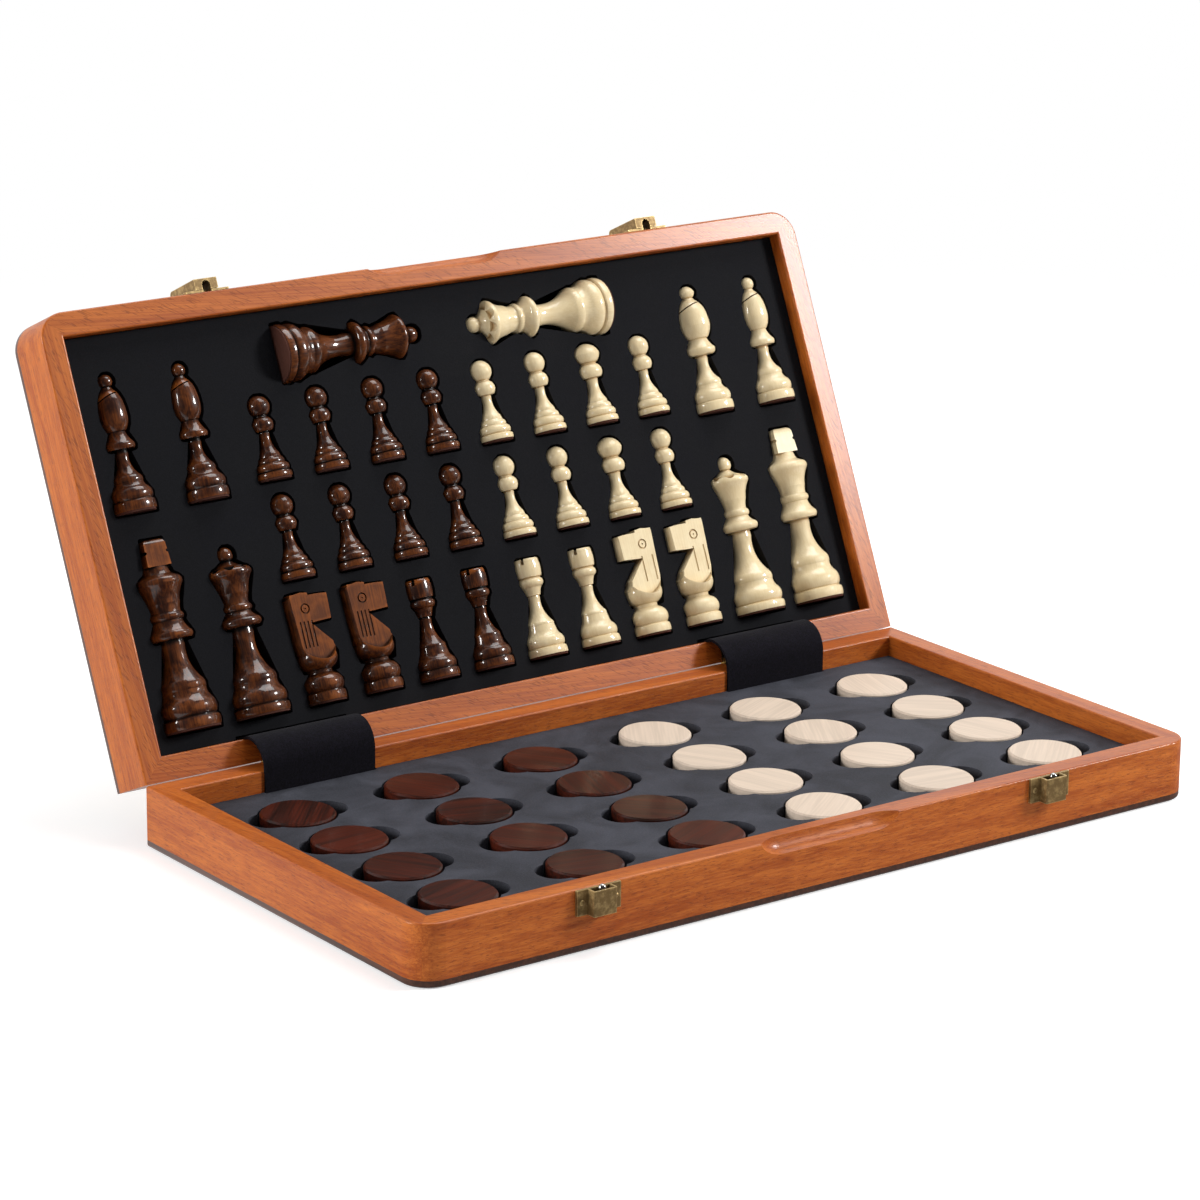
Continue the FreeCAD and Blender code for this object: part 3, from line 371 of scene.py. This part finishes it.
class Finish(Nodes):
    """A material with one principled surface."""

    def __init__(self, name):
        self.material = bpy.data.materials.new(name)
        self.material.use_nodes = True
        super().__init__(self.material.node_tree)

    def place(self, half="base", turn=(0.0, 0.0, 0.0)):
        """Place on a half of the case as if it lay open and flat with the hinge line on the X axis."""
        tilt = Euler((-LID_TILT if half == "lid" else 0.0, 0.0, 0.0))
        shift = -(tilt.to_matrix() @ HINGE)
        coordinates = self.add("ShaderNodeTexCoord", output="Object")
        inputs = {"Vector": coordinates, "Location": shift, "Rotation": tilt}
        flat = self.add("ShaderNodeMapping", {"vector_type": "POINT"}, inputs)
        if not any(turn):
            return flat
        return self.add("ShaderNodeMapping", {"vector_type": "POINT"}, {"Vector": flat, "Rotation": turn})

    def facing(self, direction):
        """1 on faces that look straight along a direction, either way."""
        normal = self.add("ShaderNodeTexCoord", output="Normal")
        return abs(self.vector("DOT_PRODUCT", normal, direction, output="Value")).ease(*SQUARE_FACE)

    def crevices(self, depth, inside=False):
        """1 on open ground, less in grooves, or less near edges when it looks inside the surface."""
        settings = {"inside": inside, "only_local": True, "samples": CREVICE_SAMPLES}
        return self.add("ShaderNodeAmbientOcclusion", settings, {"Distance": depth}, output="AO")

    def bump(self, height, depth, strength):
        return self.add("ShaderNodeBump", None, {"Height": height, "Distance": depth, "Strength": strength})

    def surface(self, inputs):
        """Ends the material with a principled shader that takes these sockets."""
        shader = self.add("ShaderNodeBsdfPrincipled", None, inputs)
        self.end("ShaderNodeOutputMaterial", shader)
        return self.material


def dress(node, material):
    """Gives a CAD node its material."""
    for slot in NODES[node].material_slots:
        slot.material = material


def add_object(name, shape, material):
    """Makes an object of a finished bmesh."""
    mesh = bpy.data.meshes.new(name)
    shape.to_mesh(mesh)
    shape.free()
    mesh.materials.append(material)
    thing = bpy.data.objects.new(name, mesh)
    bpy.context.scene.collection.objects.link(thing)
    return thing


def add_piece(name, shape, material):
    """Makes an object of a finished bmesh, with its material in its slot."""
    piece = add_object(name, shape, material)
    return piece


def shade_smooth(shape, limit):
    """Smooth faces, with sharp edges where two faces meet at more than the limit."""
    for face in shape.faces:
        face.smooth = True
    for edge in shape.edges:
        edge.smooth = len(edge.link_faces) == 2 and edge.calc_face_angle() < limit


def rail_finish(name, half, axis, lean):
    """Stained and lacquered wood with its grain along one axis, leaning a little off it."""
    look = bpy.context.scene.chess_set.case
    finish = Finish(name)
    flat = finish.place(half)
    place = finish.place(half, (0.0, 0.0, lean))
    slanted = finish.place(half, (0.0, 0.0, lean * RIM_SLANT))
    on_rim = finish.part(flat, Z_AXIS) > -RIM_DEPTH
    figure = finish.streaks(place, axis, long=0.20, across=0.007, detail=3.0, distortion=0.5)
    fibre = finish.streaks(place, axis, long=0.03, across=0.0008, detail=3.0)
    along = finish.streaks(place, axis, long=0.0050, across=0.00028, detail=1.0)
    aslant = finish.streaks(slanted, axis, long=0.0040, across=0.00045, detail=1.0)
    pores = (along * (1 - on_rim) + aslant * on_rim).ease(0.56, 0.68)
    tone = (figure * 0.5 + fibre * 0.5).ease(0.28, 0.72)
    wood = finish.mix(tone, paint(look.rail_dark), paint(look.rail_light))
    stained = finish.mix(pores * 0.45, wood, paint(look.rail_pore))
    return finish.surface({
        "Base Color": stained,
        "Roughness": 0.40 + fibre * 0.14,
        "Specular IOR Level": 0.2,
        "Coat Weight": 0.25 + on_rim * 0.2,
        "Coat Roughness": 0.2,
        "Normal": finish.bump(fibre * 0.4 - pores, depth=0.0001, strength=0.45),
    })


def veneer(finish, colour, fibre):
    """Ends a finish as lacquered veneer of this colour."""
    return finish.surface({
        "Base Color": colour,
        "Roughness": 0.33 + fibre * 0.16,
        "Coat Weight": 0.4,
        "Coat Roughness": 0.2,
        "Normal": finish.bump(fibre, depth=0.00006, strength=0.4),
    })


def panel_finish(half):
    """Board panel: pale squares on the outer face, dark border and edge."""
    look = bpy.context.scene.chess_set.case
    finish = Finish(half + "_board_panel")
    place = finish.place(half)
    low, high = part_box("base_dark_squares")
    reach = HINGE.y - low.y
    face = low.z - HINGE.z + FACE_DEPTH
    fibre = finish.streaks(place, Y_AXIS, long=0.03, across=0.0013, detail=4.0)
    figure = finish.streaks(place, Y_AXIS, long=0.2, across=0.012, detail=2.0, distortion=0.4)
    on_face = finish.part(place, Z_AXIS) < face
    within_x = abs(finish.part(place, X_AXIS)) < high.x
    within_y = abs(finish.part(place, Y_AXIS)) < reach
    tone = (0.62 + fibre * 0.45 + figure * 0.3).ease(0.7, 1.4)
    pale = finish.mix(tone, shade(look.light_square, 0.86), paint(look.light_square))
    edge = finish.mix(fibre.ease(0.3, 0.7), shade(look.panel_edge, 0.7), paint(look.panel_edge))
    return veneer(finish, finish.mix(within_x * within_y * on_face, edge, pale), fibre)


def square_finish(half):
    """Dark veneer squares of the playing board."""
    look = bpy.context.scene.chess_set.case
    finish = Finish(half + "_dark_squares")
    place = finish.place(half)
    fibre = finish.streaks(place, Y_AXIS, long=0.02, across=0.0009, detail=4.0)
    figure = finish.streaks(place, Y_AXIS, long=0.15, across=0.008, detail=2.0, distortion=0.5)
    tone = (fibre * 0.5 + figure * 0.5).ease(0.3, 0.7)
    return veneer(finish, finish.mix(tone, shade(look.dark_square, 0.6), paint(look.dark_square)), fibre)


def foam_finish(half, colour, cloud, shine):
    """Closed-cell foam with fine pores and cloudy patches."""
    finish = Finish(half + "_foam")
    place = finish.place(half)
    clouds = finish.grains(place, 0.028, detail=5.0, roughness=0.6, distortion=0.8)
    speck = finish.grains(place, 0.0006, detail=2.0)
    tone = clouds.ease(0.3, 0.72) * cloud + speck.ease(0.35, 0.75) * 0.35
    return finish.surface({
        "Base Color": finish.mix(tone, shade(colour, 0.82), shade(colour, 1.28)),
        "Roughness": shine + clouds * 0.2,
        "Specular IOR Level": 0.12,
        "Normal": finish.bump(speck, depth=0.0001, strength=0.6),
    })


def felt_finish():
    """Navy-black felt with matted fibres."""
    look = bpy.context.scene.chess_set.case
    finish = Finish("felt")
    place = finish.place()
    mat = finish.grains(place, 0.0016, detail=4.0, roughness=0.7, distortion=1.5)
    fuzz = finish.grains(place, 0.00035, detail=1.0)
    tone = mat.ease(0.35, 0.7) * 0.6 + fuzz.ease(0.45, 0.8) * 0.5
    return finish.surface({
        "Base Color": finish.mix(tone, shade(look.felt, 0.7), shade(look.felt, 1.7)),
        "Roughness": 0.95,
        "Specular IOR Level": 0.1,
        "Sheen Weight": 0.03,
        "Sheen Roughness": 0.5,
        "Normal": finish.bump(mat + fuzz * 0.6, depth=0.0003, strength=0.7),
    })


class Foot:
    """Where the sole of a chessman is on the lid as if it lay flat, and which flat faces the man has."""

    def __init__(self, node):
        turn = Euler((-LID_TILT, 0.0, 0.0)).to_matrix()
        places = [turn @ (vert.co - HINGE) for vert in NODES[node].data.vertices]
        self.axis = X_AXIS if "spare" in node else Y_AXIS
        ends = [place[self.axis] for place in places]
        self.up = -1.0 if self.axis == X_AXIS and sum(ends) > 0 else 1.0
        self.sole = max(ends) if self.up < 0 else min(ends)
        # A knight has lines cut in its flat face, a king has a plain flat block
        self.carved = "knight" in node
        self.milled = self.carved or node.endswith("_king")

    def key(self):
        return (self.axis, self.up, round(self.sole, 4), self.milled, self.carved)


def chessman_finish(tone, foot):
    """Turned and polished wood, darker in its grooves with stain and painted shade, paler on its ridges with
    thin stain and a painted highlight, with a felt sole.
    """
    look = bpy.context.scene.chess_set.men
    recipe = MEN_WEAR_AND_PAINTED_LIGHT[tone]
    way = "across" if foot.axis == X_AXIS else "up"
    finish = Finish(f"{tone}_men_{way}_{abs(foot.sole) * 1000:.0f}")
    place = finish.place("lid")
    fibre = finish.streaks(place, foot.axis, long=0.012, across=0.0007, detail=3.0)
    patch = finish.grains(place, 0.006, detail=3.0, distortion=0.5)
    # Ridges are paled: thin stain on worn ridges, and a painted highlight where edges catch the light
    ridge_wear_and_highlight = 1 - finish.crevices(recipe["depth"], inside=True).ease(0.25, 0.75)
    # Grooves are darkened where the wood is closed in: stain, together with painted shade
    groove = finish.crevices(0.0026).ease(*recipe["groove"])
    if foot.carved:
        groove = CARVED_RELIEF + groove * (1 - CARVED_RELIEF)
    grounds = ("crevice_stain_and_shade", "body", "raised")
    crevice_stain_and_shade, body, raised = (paint(getattr(look, f"{tone}_{ground}")) for ground in grounds)
    milled = finish.facing(LID_UP) if foot.milled else 0.0
    figure = (patch * 0.5 + fibre * 0.5).ease(0.36, 0.70)
    bare = finish.mix(figure * recipe["grain"] + milled * 0.25, body, raised)
    edged = finish.mix(ridge_wear_and_highlight * recipe["ridge_wear_and_highlight"], bare, raised)
    wood = finish.mix(groove, crevice_stain_and_shade, edged)
    above = (finish.part(place, foot.axis) - foot.sole) * foot.up
    on_sole = above < look.sole_thickness
    return finish.surface({
        "Base Color": finish.mix(on_sole, wood, paint(look.sole)),
        "Roughness": (0.34 + fibre * 0.14 + milled * 0.25) * (1 - on_sole) + on_sole * 0.95,
        "Specular IOR Level": 0.2,
        "Coat Weight": (1 - on_sole) * (1 - milled * 0.9),
        "Coat Roughness": 0.06,
        "Normal": finish.bump(fibre * 0.5 + patch, depth=0.00022, strength=0.5),
    })


def draught_finish(tone):
    """Turned draughts, each with its grain in its own direction, and a painted highlight along their edges.
    """
    look = bpy.context.scene.chess_set.men
    recipe = DRAUGHT_SHADES_AND_HIGHLIGHT[tone]
    finish = Finish(tone + "_draughts")
    colour = getattr(look, tone + "_draught")
    coordinates = finish.add("ShaderNodeTexCoord", output="Object")
    cells = finish.vector("DIVIDE", coordinates, (DRAUGHT_PITCH_X, DRAUGHT_PITCH_Y, 1.0))
    cell = finish.vector("ADD", finish.vector("FLOOR", cells), (0.5, 0.5, 0.0))
    chance = finish.add("ShaderNodeTexWhiteNoise", None, {"Vector": cell})
    inputs = {"Vector": coordinates, "Angle": chance * math.tau}
    place = finish.add("ShaderNodeVectorRotate", {"rotation_type": "Z_AXIS"}, inputs)
    fibre = finish.streaks(place, X_AXIS, long=0.03, across=0.0009, detail=3.0)
    figure = finish.streaks(place, X_AXIS, long=0.06, across=0.004, detail=2.0, distortion=0.4)
    # Edges are painted paler as a highlight where they catch the light
    ridge_wear_and_highlight = 1 - finish.crevices(0.0009, inside=True).ease(0.3, 0.8)
    tones = (figure * 0.45 + fibre * 0.55).ease(0.36, 0.64)
    wood = finish.mix(tones * 0.7 + chance * 0.3, shade(colour, recipe["deep"]), shade(colour, recipe["pale"]))
    return finish.surface({
        "Base Color": finish.mix(ridge_wear_and_highlight * 0.8, wood, shade(colour, recipe["edge"])),
        "Roughness": recipe["roughness"] + fibre * 0.14,
        "Specular IOR Level": 0.15,
        "Coat Weight": recipe["coat"],
        "Coat Roughness": 0.14,
        "Normal": finish.bump(fibre, depth=0.0001, strength=0.4),
    })


def aged_brass_finish():
    """Brass darkened in its hollows and worn bare at its edges."""
    look = bpy.context.scene.chess_set.fittings
    finish = Finish("antique_brass")
    place = finish.place()
    stain = finish.grains(place, 0.0024, detail=4.0, roughness=0.65)
    scratch = finish.grains(place, 0.0005, detail=2.0)
    worn = 1 - finish.crevices(0.0006, inside=True).ease(0.3, 0.85)
    bare = stain.ease(0.42, 0.75) * 0.45 + worn * 0.8
    return finish.surface({
        "Base Color": finish.mix(bare, paint(look.brass_dark), paint(look.brass_worn)),
        "Metallic": 0.5,
        "Roughness": 0.46 - worn * 0.12 + scratch * 0.12,
        "Normal": finish.bump(stain + scratch * 0.5, depth=0.0001, strength=0.4),
    })


def metal_finish(name, colour, roughness):
    """Plain metal with fine brushing and a few dull patches."""
    finish = Finish(name)
    place = finish.place()
    brushing = finish.streaks(place, X_AXIS, long=0.006, across=0.0003, detail=2.0)
    haze = finish.grains(place, 0.005, detail=3.0)
    return finish.surface({
        "Base Color": finish.mix(haze.ease(0.3, 0.7), shade(colour, 0.8), paint(colour)),
        "Metallic": 1.0,
        "Roughness": roughness + brushing * 0.12,
        "Normal": finish.bump(brushing, depth=0.00004, strength=0.3),
    })


class CHESS_OT_case_wood(bpy.types.Operator):
    """Stains the rails, veneers the board panels and finishes the steel under them"""

    bl_idname = "chess_set.case_wood"
    bl_label = "Case wood"

    def execute(self, context):
        steel = metal_finish("steel", context.scene.chess_set.fittings.steel, roughness=0.35)
        for half in HALVES:
            long_rails = rail_finish(half + "_long_rails", half, X_AXIS, LONG_RAIL_LEAN)
            side_rails = rail_finish(half + "_end_rails", half, Y_AXIS, END_RAIL_LEAN)
            dress(half + "_front_rail", long_rails)
            dress(half + "_rear_rail", long_rails)
            dress(half + "_side_rails", side_rails)
            dress(half + "_board_panel", panel_finish(half))
            dress(half + "_dark_squares", square_finish(half))
            dress(half + "_steel_sheet", steel)
        return {"FINISHED"}


class CHESS_OT_foam_trays(bpy.types.Operator):
    """Makes both foam trays with soft rims round their pockets"""

    bl_idname = "chess_set.foam_trays"
    bl_label = "Foam trays"

    def execute(self, context):
        look = context.scene.chess_set.case
        finishes = {
            # The base foam's paler colour is painted sheen, and the lid foam's darker colour is painted shade
            "base": foam_finish("base", look.base_foam, cloud=0.8, shine=0.55),
            "lid": foam_finish("lid", look.lid_foam, cloud=0.3, shine=0.7),
        }
        for half in HALVES:
            node = half + "_foam_tray"
            shape = self.rounded(NODES[node].data, half, look)
            tray = add_piece(half + "_foam", shape, finishes[half])
            tray.modifiers.new("even_top", "WEIGHTED_NORMAL").keep_sharp = True
            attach(tray, half)
            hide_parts(node)
        return {"FINISHED"}

    def rounded(self, mesh, half, look):
        """A copy of the tray whose top edges are rounded off."""
        shape = bmesh.new()
        shape.from_mesh(mesh)
        bmesh.ops.remove_doubles(shape, verts=shape.verts, dist=look.foam_weld)
        bmesh.ops.dissolve_limit(shape, angle_limit=FOAM_FLAT_ANGLE, verts=shape.verts, edges=shape.edges)
        up = LID_UP if half == "lid" else UP
        top = max(vert.co.dot(up) for vert in shape.verts)
        rims = [edge for edge in shape.edges if self.is_rim(edge, up, top)]
        bmesh.ops.bevel(
            shape, geom=rims, offset=look.foam_rim, offset_type="OFFSET", affect="EDGES",
            segments=FOAM_RIM_SEGMENTS, profile=0.5, material=-1, clamp_overlap=True
        )
        shade_smooth(shape, FOAM_SHARP_ANGLE)
        return shape

    def is_rim(self, edge, up, top):
        """Whether an edge lies in the top of the tray, between the top and a wall."""
        if len(edge.link_faces) != 2 or min(vert.co.dot(up) for vert in edge.verts) < top - LEVEL:
            return False
        steepest, flattest = sorted(face.normal.dot(up) for face in edge.link_faces)
        return steepest < FOAM_WALL_COSINE and flattest > FOAM_TOP_COSINE


class CHESS_OT_hinge_straps(bpy.types.Operator):
    """Lays two felt straps over the hinges, tucked behind both foam trays"""

    bl_idname = "chess_set.hinge_straps"
    bl_label = "Hinge straps"

    def execute(self, context):
        look = context.scene.chess_set.case
        felt = felt_finish()
        low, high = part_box("hinge_straps")
        half_width = (high.x - self.right_strap_start()) / 2
        for name, middle in (("left_strap", low.x + half_width), ("right_strap", high.x - half_width)):
            self.strap(name, middle, half_width, look, felt)
        return {"FINISHED"}

    def right_strap_start(self):
        """The right strap's left edge."""
        return min(vert.co.x for vert in NODES["hinge_straps"].data.vertices if vert.co.x > 0)

    def strap(self, name, middle, half_width, look, felt):
        """One strap: up from the base, round the hinge line and down in the lid."""
        radius = look.strap_radius + look.strap_thickness / 2
        base_foam_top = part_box("base_foam_tray")[1].z
        lid_foam_top = max((vert.co - HINGE).dot(LID_UP) for vert in NODES["lid_foam_tray"].data.vertices)
        base_tail = HINGE.z - base_foam_top + look.strap_tuck
        lid_tail = look.strap_tuck - lid_foam_top
        arm = Vector((0.0, -radius, 0.0))
        start = HINGE + arm
        end = HINGE + Matrix.Rotation(-LID_OPENING, 3, "X") @ arm
        path = [start + UP * base_tail * (step / STRAP_BASE_ROWS - 1) for step in range(STRAP_BASE_ROWS)]
        for step in range(STRAP_BOW_ROWS + 1):
            path.append(HINGE + Matrix.Rotation(-LID_OPENING * step / STRAP_BOW_ROWS, 3, "X") @ arm)
        path += [end - LID_UP * lid_tail * step / STRAP_LID_ROWS for step in range(1, STRAP_LID_ROWS + 1)]
        shape = self.laid(path, middle, half_width)
        self.ruffle(shape, middle, half_width)
        bmesh.ops.recalc_face_normals(shape, faces=shape.faces)
        bmesh.ops.solidify(shape, geom=shape.faces[:], thickness=look.strap_thickness)
        bmesh.ops.recalc_face_normals(shape, faces=shape.faces)
        self.settle(shape)
        shade_smooth(shape, STRAP_SHARP_ANGLE)
        piece = add_piece(name, shape, felt)
        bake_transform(piece)
        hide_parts("hinge_straps")

    def laid(self, path, middle, half_width):
        """A sheet whose rows follow a path."""
        shape = bmesh.new()
        shares = [2 * column / STRAP_COLUMNS - 1 for column in range(STRAP_COLUMNS + 1)]
        across = [middle + half_width * share for share in shares]
        rows = [[shape.verts.new((x, place.y, place.z)) for x in across] for place in path]
        for lower, upper in zip(rows, rows[1:]):
            for column in range(STRAP_COLUMNS):
                shape.faces.new((lower[column], lower[column + 1], upper[column + 1], upper[column]))
        return shape

    def settle(self, shape):
        """Puts edges and faces in an order that is the same on each run."""
        shape.verts.index_update()
        count = len(shape.verts)

        def rank(item):
            numbers = [vert.index for vert in item.verts]
            return min(numbers) * count + max(numbers)

        for items in (shape.edges, shape.faces):
            items.sort(key=rank)
            items.index_update()

    def ruffle(self, shape, middle, half_width):
        """Lets the felt bow out a little and wave along its free stretch."""
        for vert in shape.verts:
            arm = Vector((0.0, vert.co.y - HINGE.y, vert.co.z - HINGE.z))
            turn = math.atan2(arm.z, -arm.y)
            free = math.sin(math.pi * min(max(turn / LID_OPENING, 0.0), 1.0))
            across = (vert.co.x - middle) / half_width
            phase = STRAP_WAVE_ACROSS * across + STRAP_WAVE_ROUND * turn
            wave = STRAP_CROWN * (1 - across ** 2) + STRAP_WAVE * math.sin(phase)
            vert.co += arm.normalized() * free * wave


class CHESS_OT_chessmen(bpy.types.Operator):
    """Polishes the chessmen and puts felt on their soles"""

    bl_idname = "chess_set.chessmen"
    bl_label = "Chessmen"

    def execute(self, context):
        for tone in TONES:
            finishes = {}
            for node in NODES:
                if not node.startswith(tuple(f"{tone}_{man}" for man in CHESSMEN)):
                    continue
                foot = Foot(node)
                if foot.key() not in finishes:
                    finishes[foot.key()] = chessman_finish(tone, foot)
                dress(node, finishes[foot.key()])
        return {"FINISHED"}


class CHESS_OT_draughts(bpy.types.Operator):
    """Finishes both sets of draughts"""

    bl_idname = "chess_set.draughts"
    bl_label = "Draughts"

    def execute(self, context):
        for tone in TONES:
            dress(tone + "_checkers", draught_finish(tone))
        return {"FINISHED"}


class CHESS_OT_fittings(bpy.types.Operator):
    """Ages the latches and finishes the hinges, studs and screws"""

    bl_idname = "chess_set.fittings"
    bl_label = "Fittings"

    def execute(self, context):
        look = context.scene.chess_set.fittings
        aged = aged_brass_finish()
        plain = metal_finish("plain_brass", look.brass_plain, roughness=0.25)
        nickel = metal_finish("nickel", look.nickel, roughness=0.15)
        for node in ("latch_keepers", "latch_plates", "left_hasp", "right_hasp", "base_screws", "lid_screws"):
            dress(node, aged)
        for node in ("hinge_base_leaves", "hinge_lid_leaves"):
            dress(node, plain)
        dress("latch_studs", nickel)
        return {"FINISHED"}


class CHESS_OT_stage(bpy.types.Operator):
    """Sets up the floor, the lights, the surroundings and the camera"""

    bl_idname = "chess_set.stage"
    bl_label = "Stage"

    def execute(self, context):
        look = context.scene.chess_set.stage
        self.floor()
        self.surroundings(look)
        self.softbox("left_box", place=(-1.60, 0.35, 0.62), size=0.5, power=look.left_power)
        self.softbox("right_box", place=(1.38, -0.90, 0.90), size=0.4, power=look.right_power)
        self.softbox("top_box", place=(0.60, 0.20, 1.60), size=1.1, power=look.top_power)
        self.camera(look)
        context.scene.view_settings.view_transform = "Standard"
        return {"FINISHED"}

    def floor(self):
        """Takes shadows near the part, and is white further off and behind the part in reflections."""
        shape = bmesh.new()
        bmesh.ops.create_grid(shape, x_segments=1, y_segments=1, size=FLOOR_REACH)
        bmesh.ops.translate(shape, verts=shape.verts, vec=(0.0, 0.0, -FLOOR_DROP))
        finish = Finish("floor")
        place = finish.add("ShaderNodeTexCoord", output="Object")
        far = finish.vector("LENGTH", place, output="Value").ease(0.4, 1.1)
        camera = finish.add("ShaderNodeLightPath", output="Is Camera Ray")
        behind = finish.part(place, Y_AXIS).ease(-0.16, 0.04)
        mirrored = finish.seen_rays() - camera
        glow = camera * (0.42 + far * 0.58) + mirrored * (0.03 + behind * 0.92)
        material = finish.surface({
            "Base Color": finish.mix(far * camera + mirrored, FLOOR_GREY, BLACK),
            "Roughness": 0.9,
            "Specular IOR Level": 0.0,
            "Emission Color": finish.mix(glow, BLACK, WHITE),
            "Emission Strength": 1.0,
        })
        floor = add_object("floor", shape, material)

    def surroundings(self, look):
        """White where it is looked at, with a dimmer room in front in reflections."""
        world = bpy.data.worlds.new("studio")
        world.use_nodes = True
        nodes = Nodes(world.node_tree)
        direction = nodes.add("ShaderNodeTexCoord", output="Generated")
        camera = nodes.add("ShaderNodeLightPath", output="Is Camera Ray")
        behind = nodes.part(direction, Y_AXIS).ease(-0.1, 0.6)
        seen = nodes.seen_rays()
        reflected = 0.05 + behind * 0.95
        strength = camera + (1 - camera) * (seen * reflected + (1 - seen) * look.room)
        sky = nodes.add("ShaderNodeBackground", None, {"Color": WHITE, "Strength": strength})
        nodes.end("ShaderNodeOutputWorld", sky)
        bpy.context.scene.world = world

    def softbox(self, name, place, size, power):
        light = bpy.data.lights.new(name, "AREA")
        light.size = size
        light.energy = power
        box = bpy.data.objects.new(name, light)
        box.location = place
        box.rotation_euler = (LIT_PLACE - Vector(place)).to_track_quat("-Z", "Y").to_euler()
        bpy.context.scene.collection.objects.link(box)

    def camera(self, look):
        data = bpy.data.cameras.new("camera")
        data.lens = look.camera_lens
        camera = bpy.data.objects.new("camera", data)
        aim = Vector(look.camera_aim) - Vector(look.camera_place)
        turn = aim.to_track_quat("-Z", "Y").to_matrix() @ Matrix.Rotation(look.camera_roll, 3, "Z")
        camera.matrix_world = Matrix.Translation(look.camera_place) @ turn.to_4x4()
        bpy.context.scene.collection.objects.link(camera)
        bpy.context.scene.camera = camera


class CHESS_PT_panel(bpy.types.Panel):
    """Lists the steps that dress the chess set"""

    bl_label = "Chess set"
    bl_idname = "CHESS_PT_panel"
    bl_space_type = "VIEW_3D"
    bl_region_type = "UI"
    bl_category = "Chess set"

    def draw(self, context):
        for operator in OPERATORS:
            self.layout.operator(operator.bl_idname)


OPERATORS = (
    CHESS_OT_case_wood,
    CHESS_OT_foam_trays,
    CHESS_OT_hinge_straps,
    CHESS_OT_chessmen,
    CHESS_OT_draughts,
    CHESS_OT_fittings,
    CHESS_OT_stage,
)
CLASSES = (CaseLook, MenLook, FittingsLook, StageLook, ChessSetLook, *OPERATORS, CHESS_PT_panel)


def register():
    for item in CLASSES:
        bpy.utils.register_class(item)
    bpy.types.Scene.chess_set = PointerProperty(type=ChessSetLook)


def unregister():
    del bpy.types.Scene.chess_set
    for item in reversed(CLASSES):
        bpy.utils.unregister_class(item)


def main():
    register()
    bpy.ops.chess_set.case_wood()
    bpy.ops.chess_set.foam_trays()
    bpy.ops.chess_set.hinge_straps()
    bpy.ops.chess_set.chessmen()
    bpy.ops.chess_set.draughts()
    bpy.ops.chess_set.fittings()
    bpy.ops.chess_set.stage()


if __name__ == "__main__":
    main()
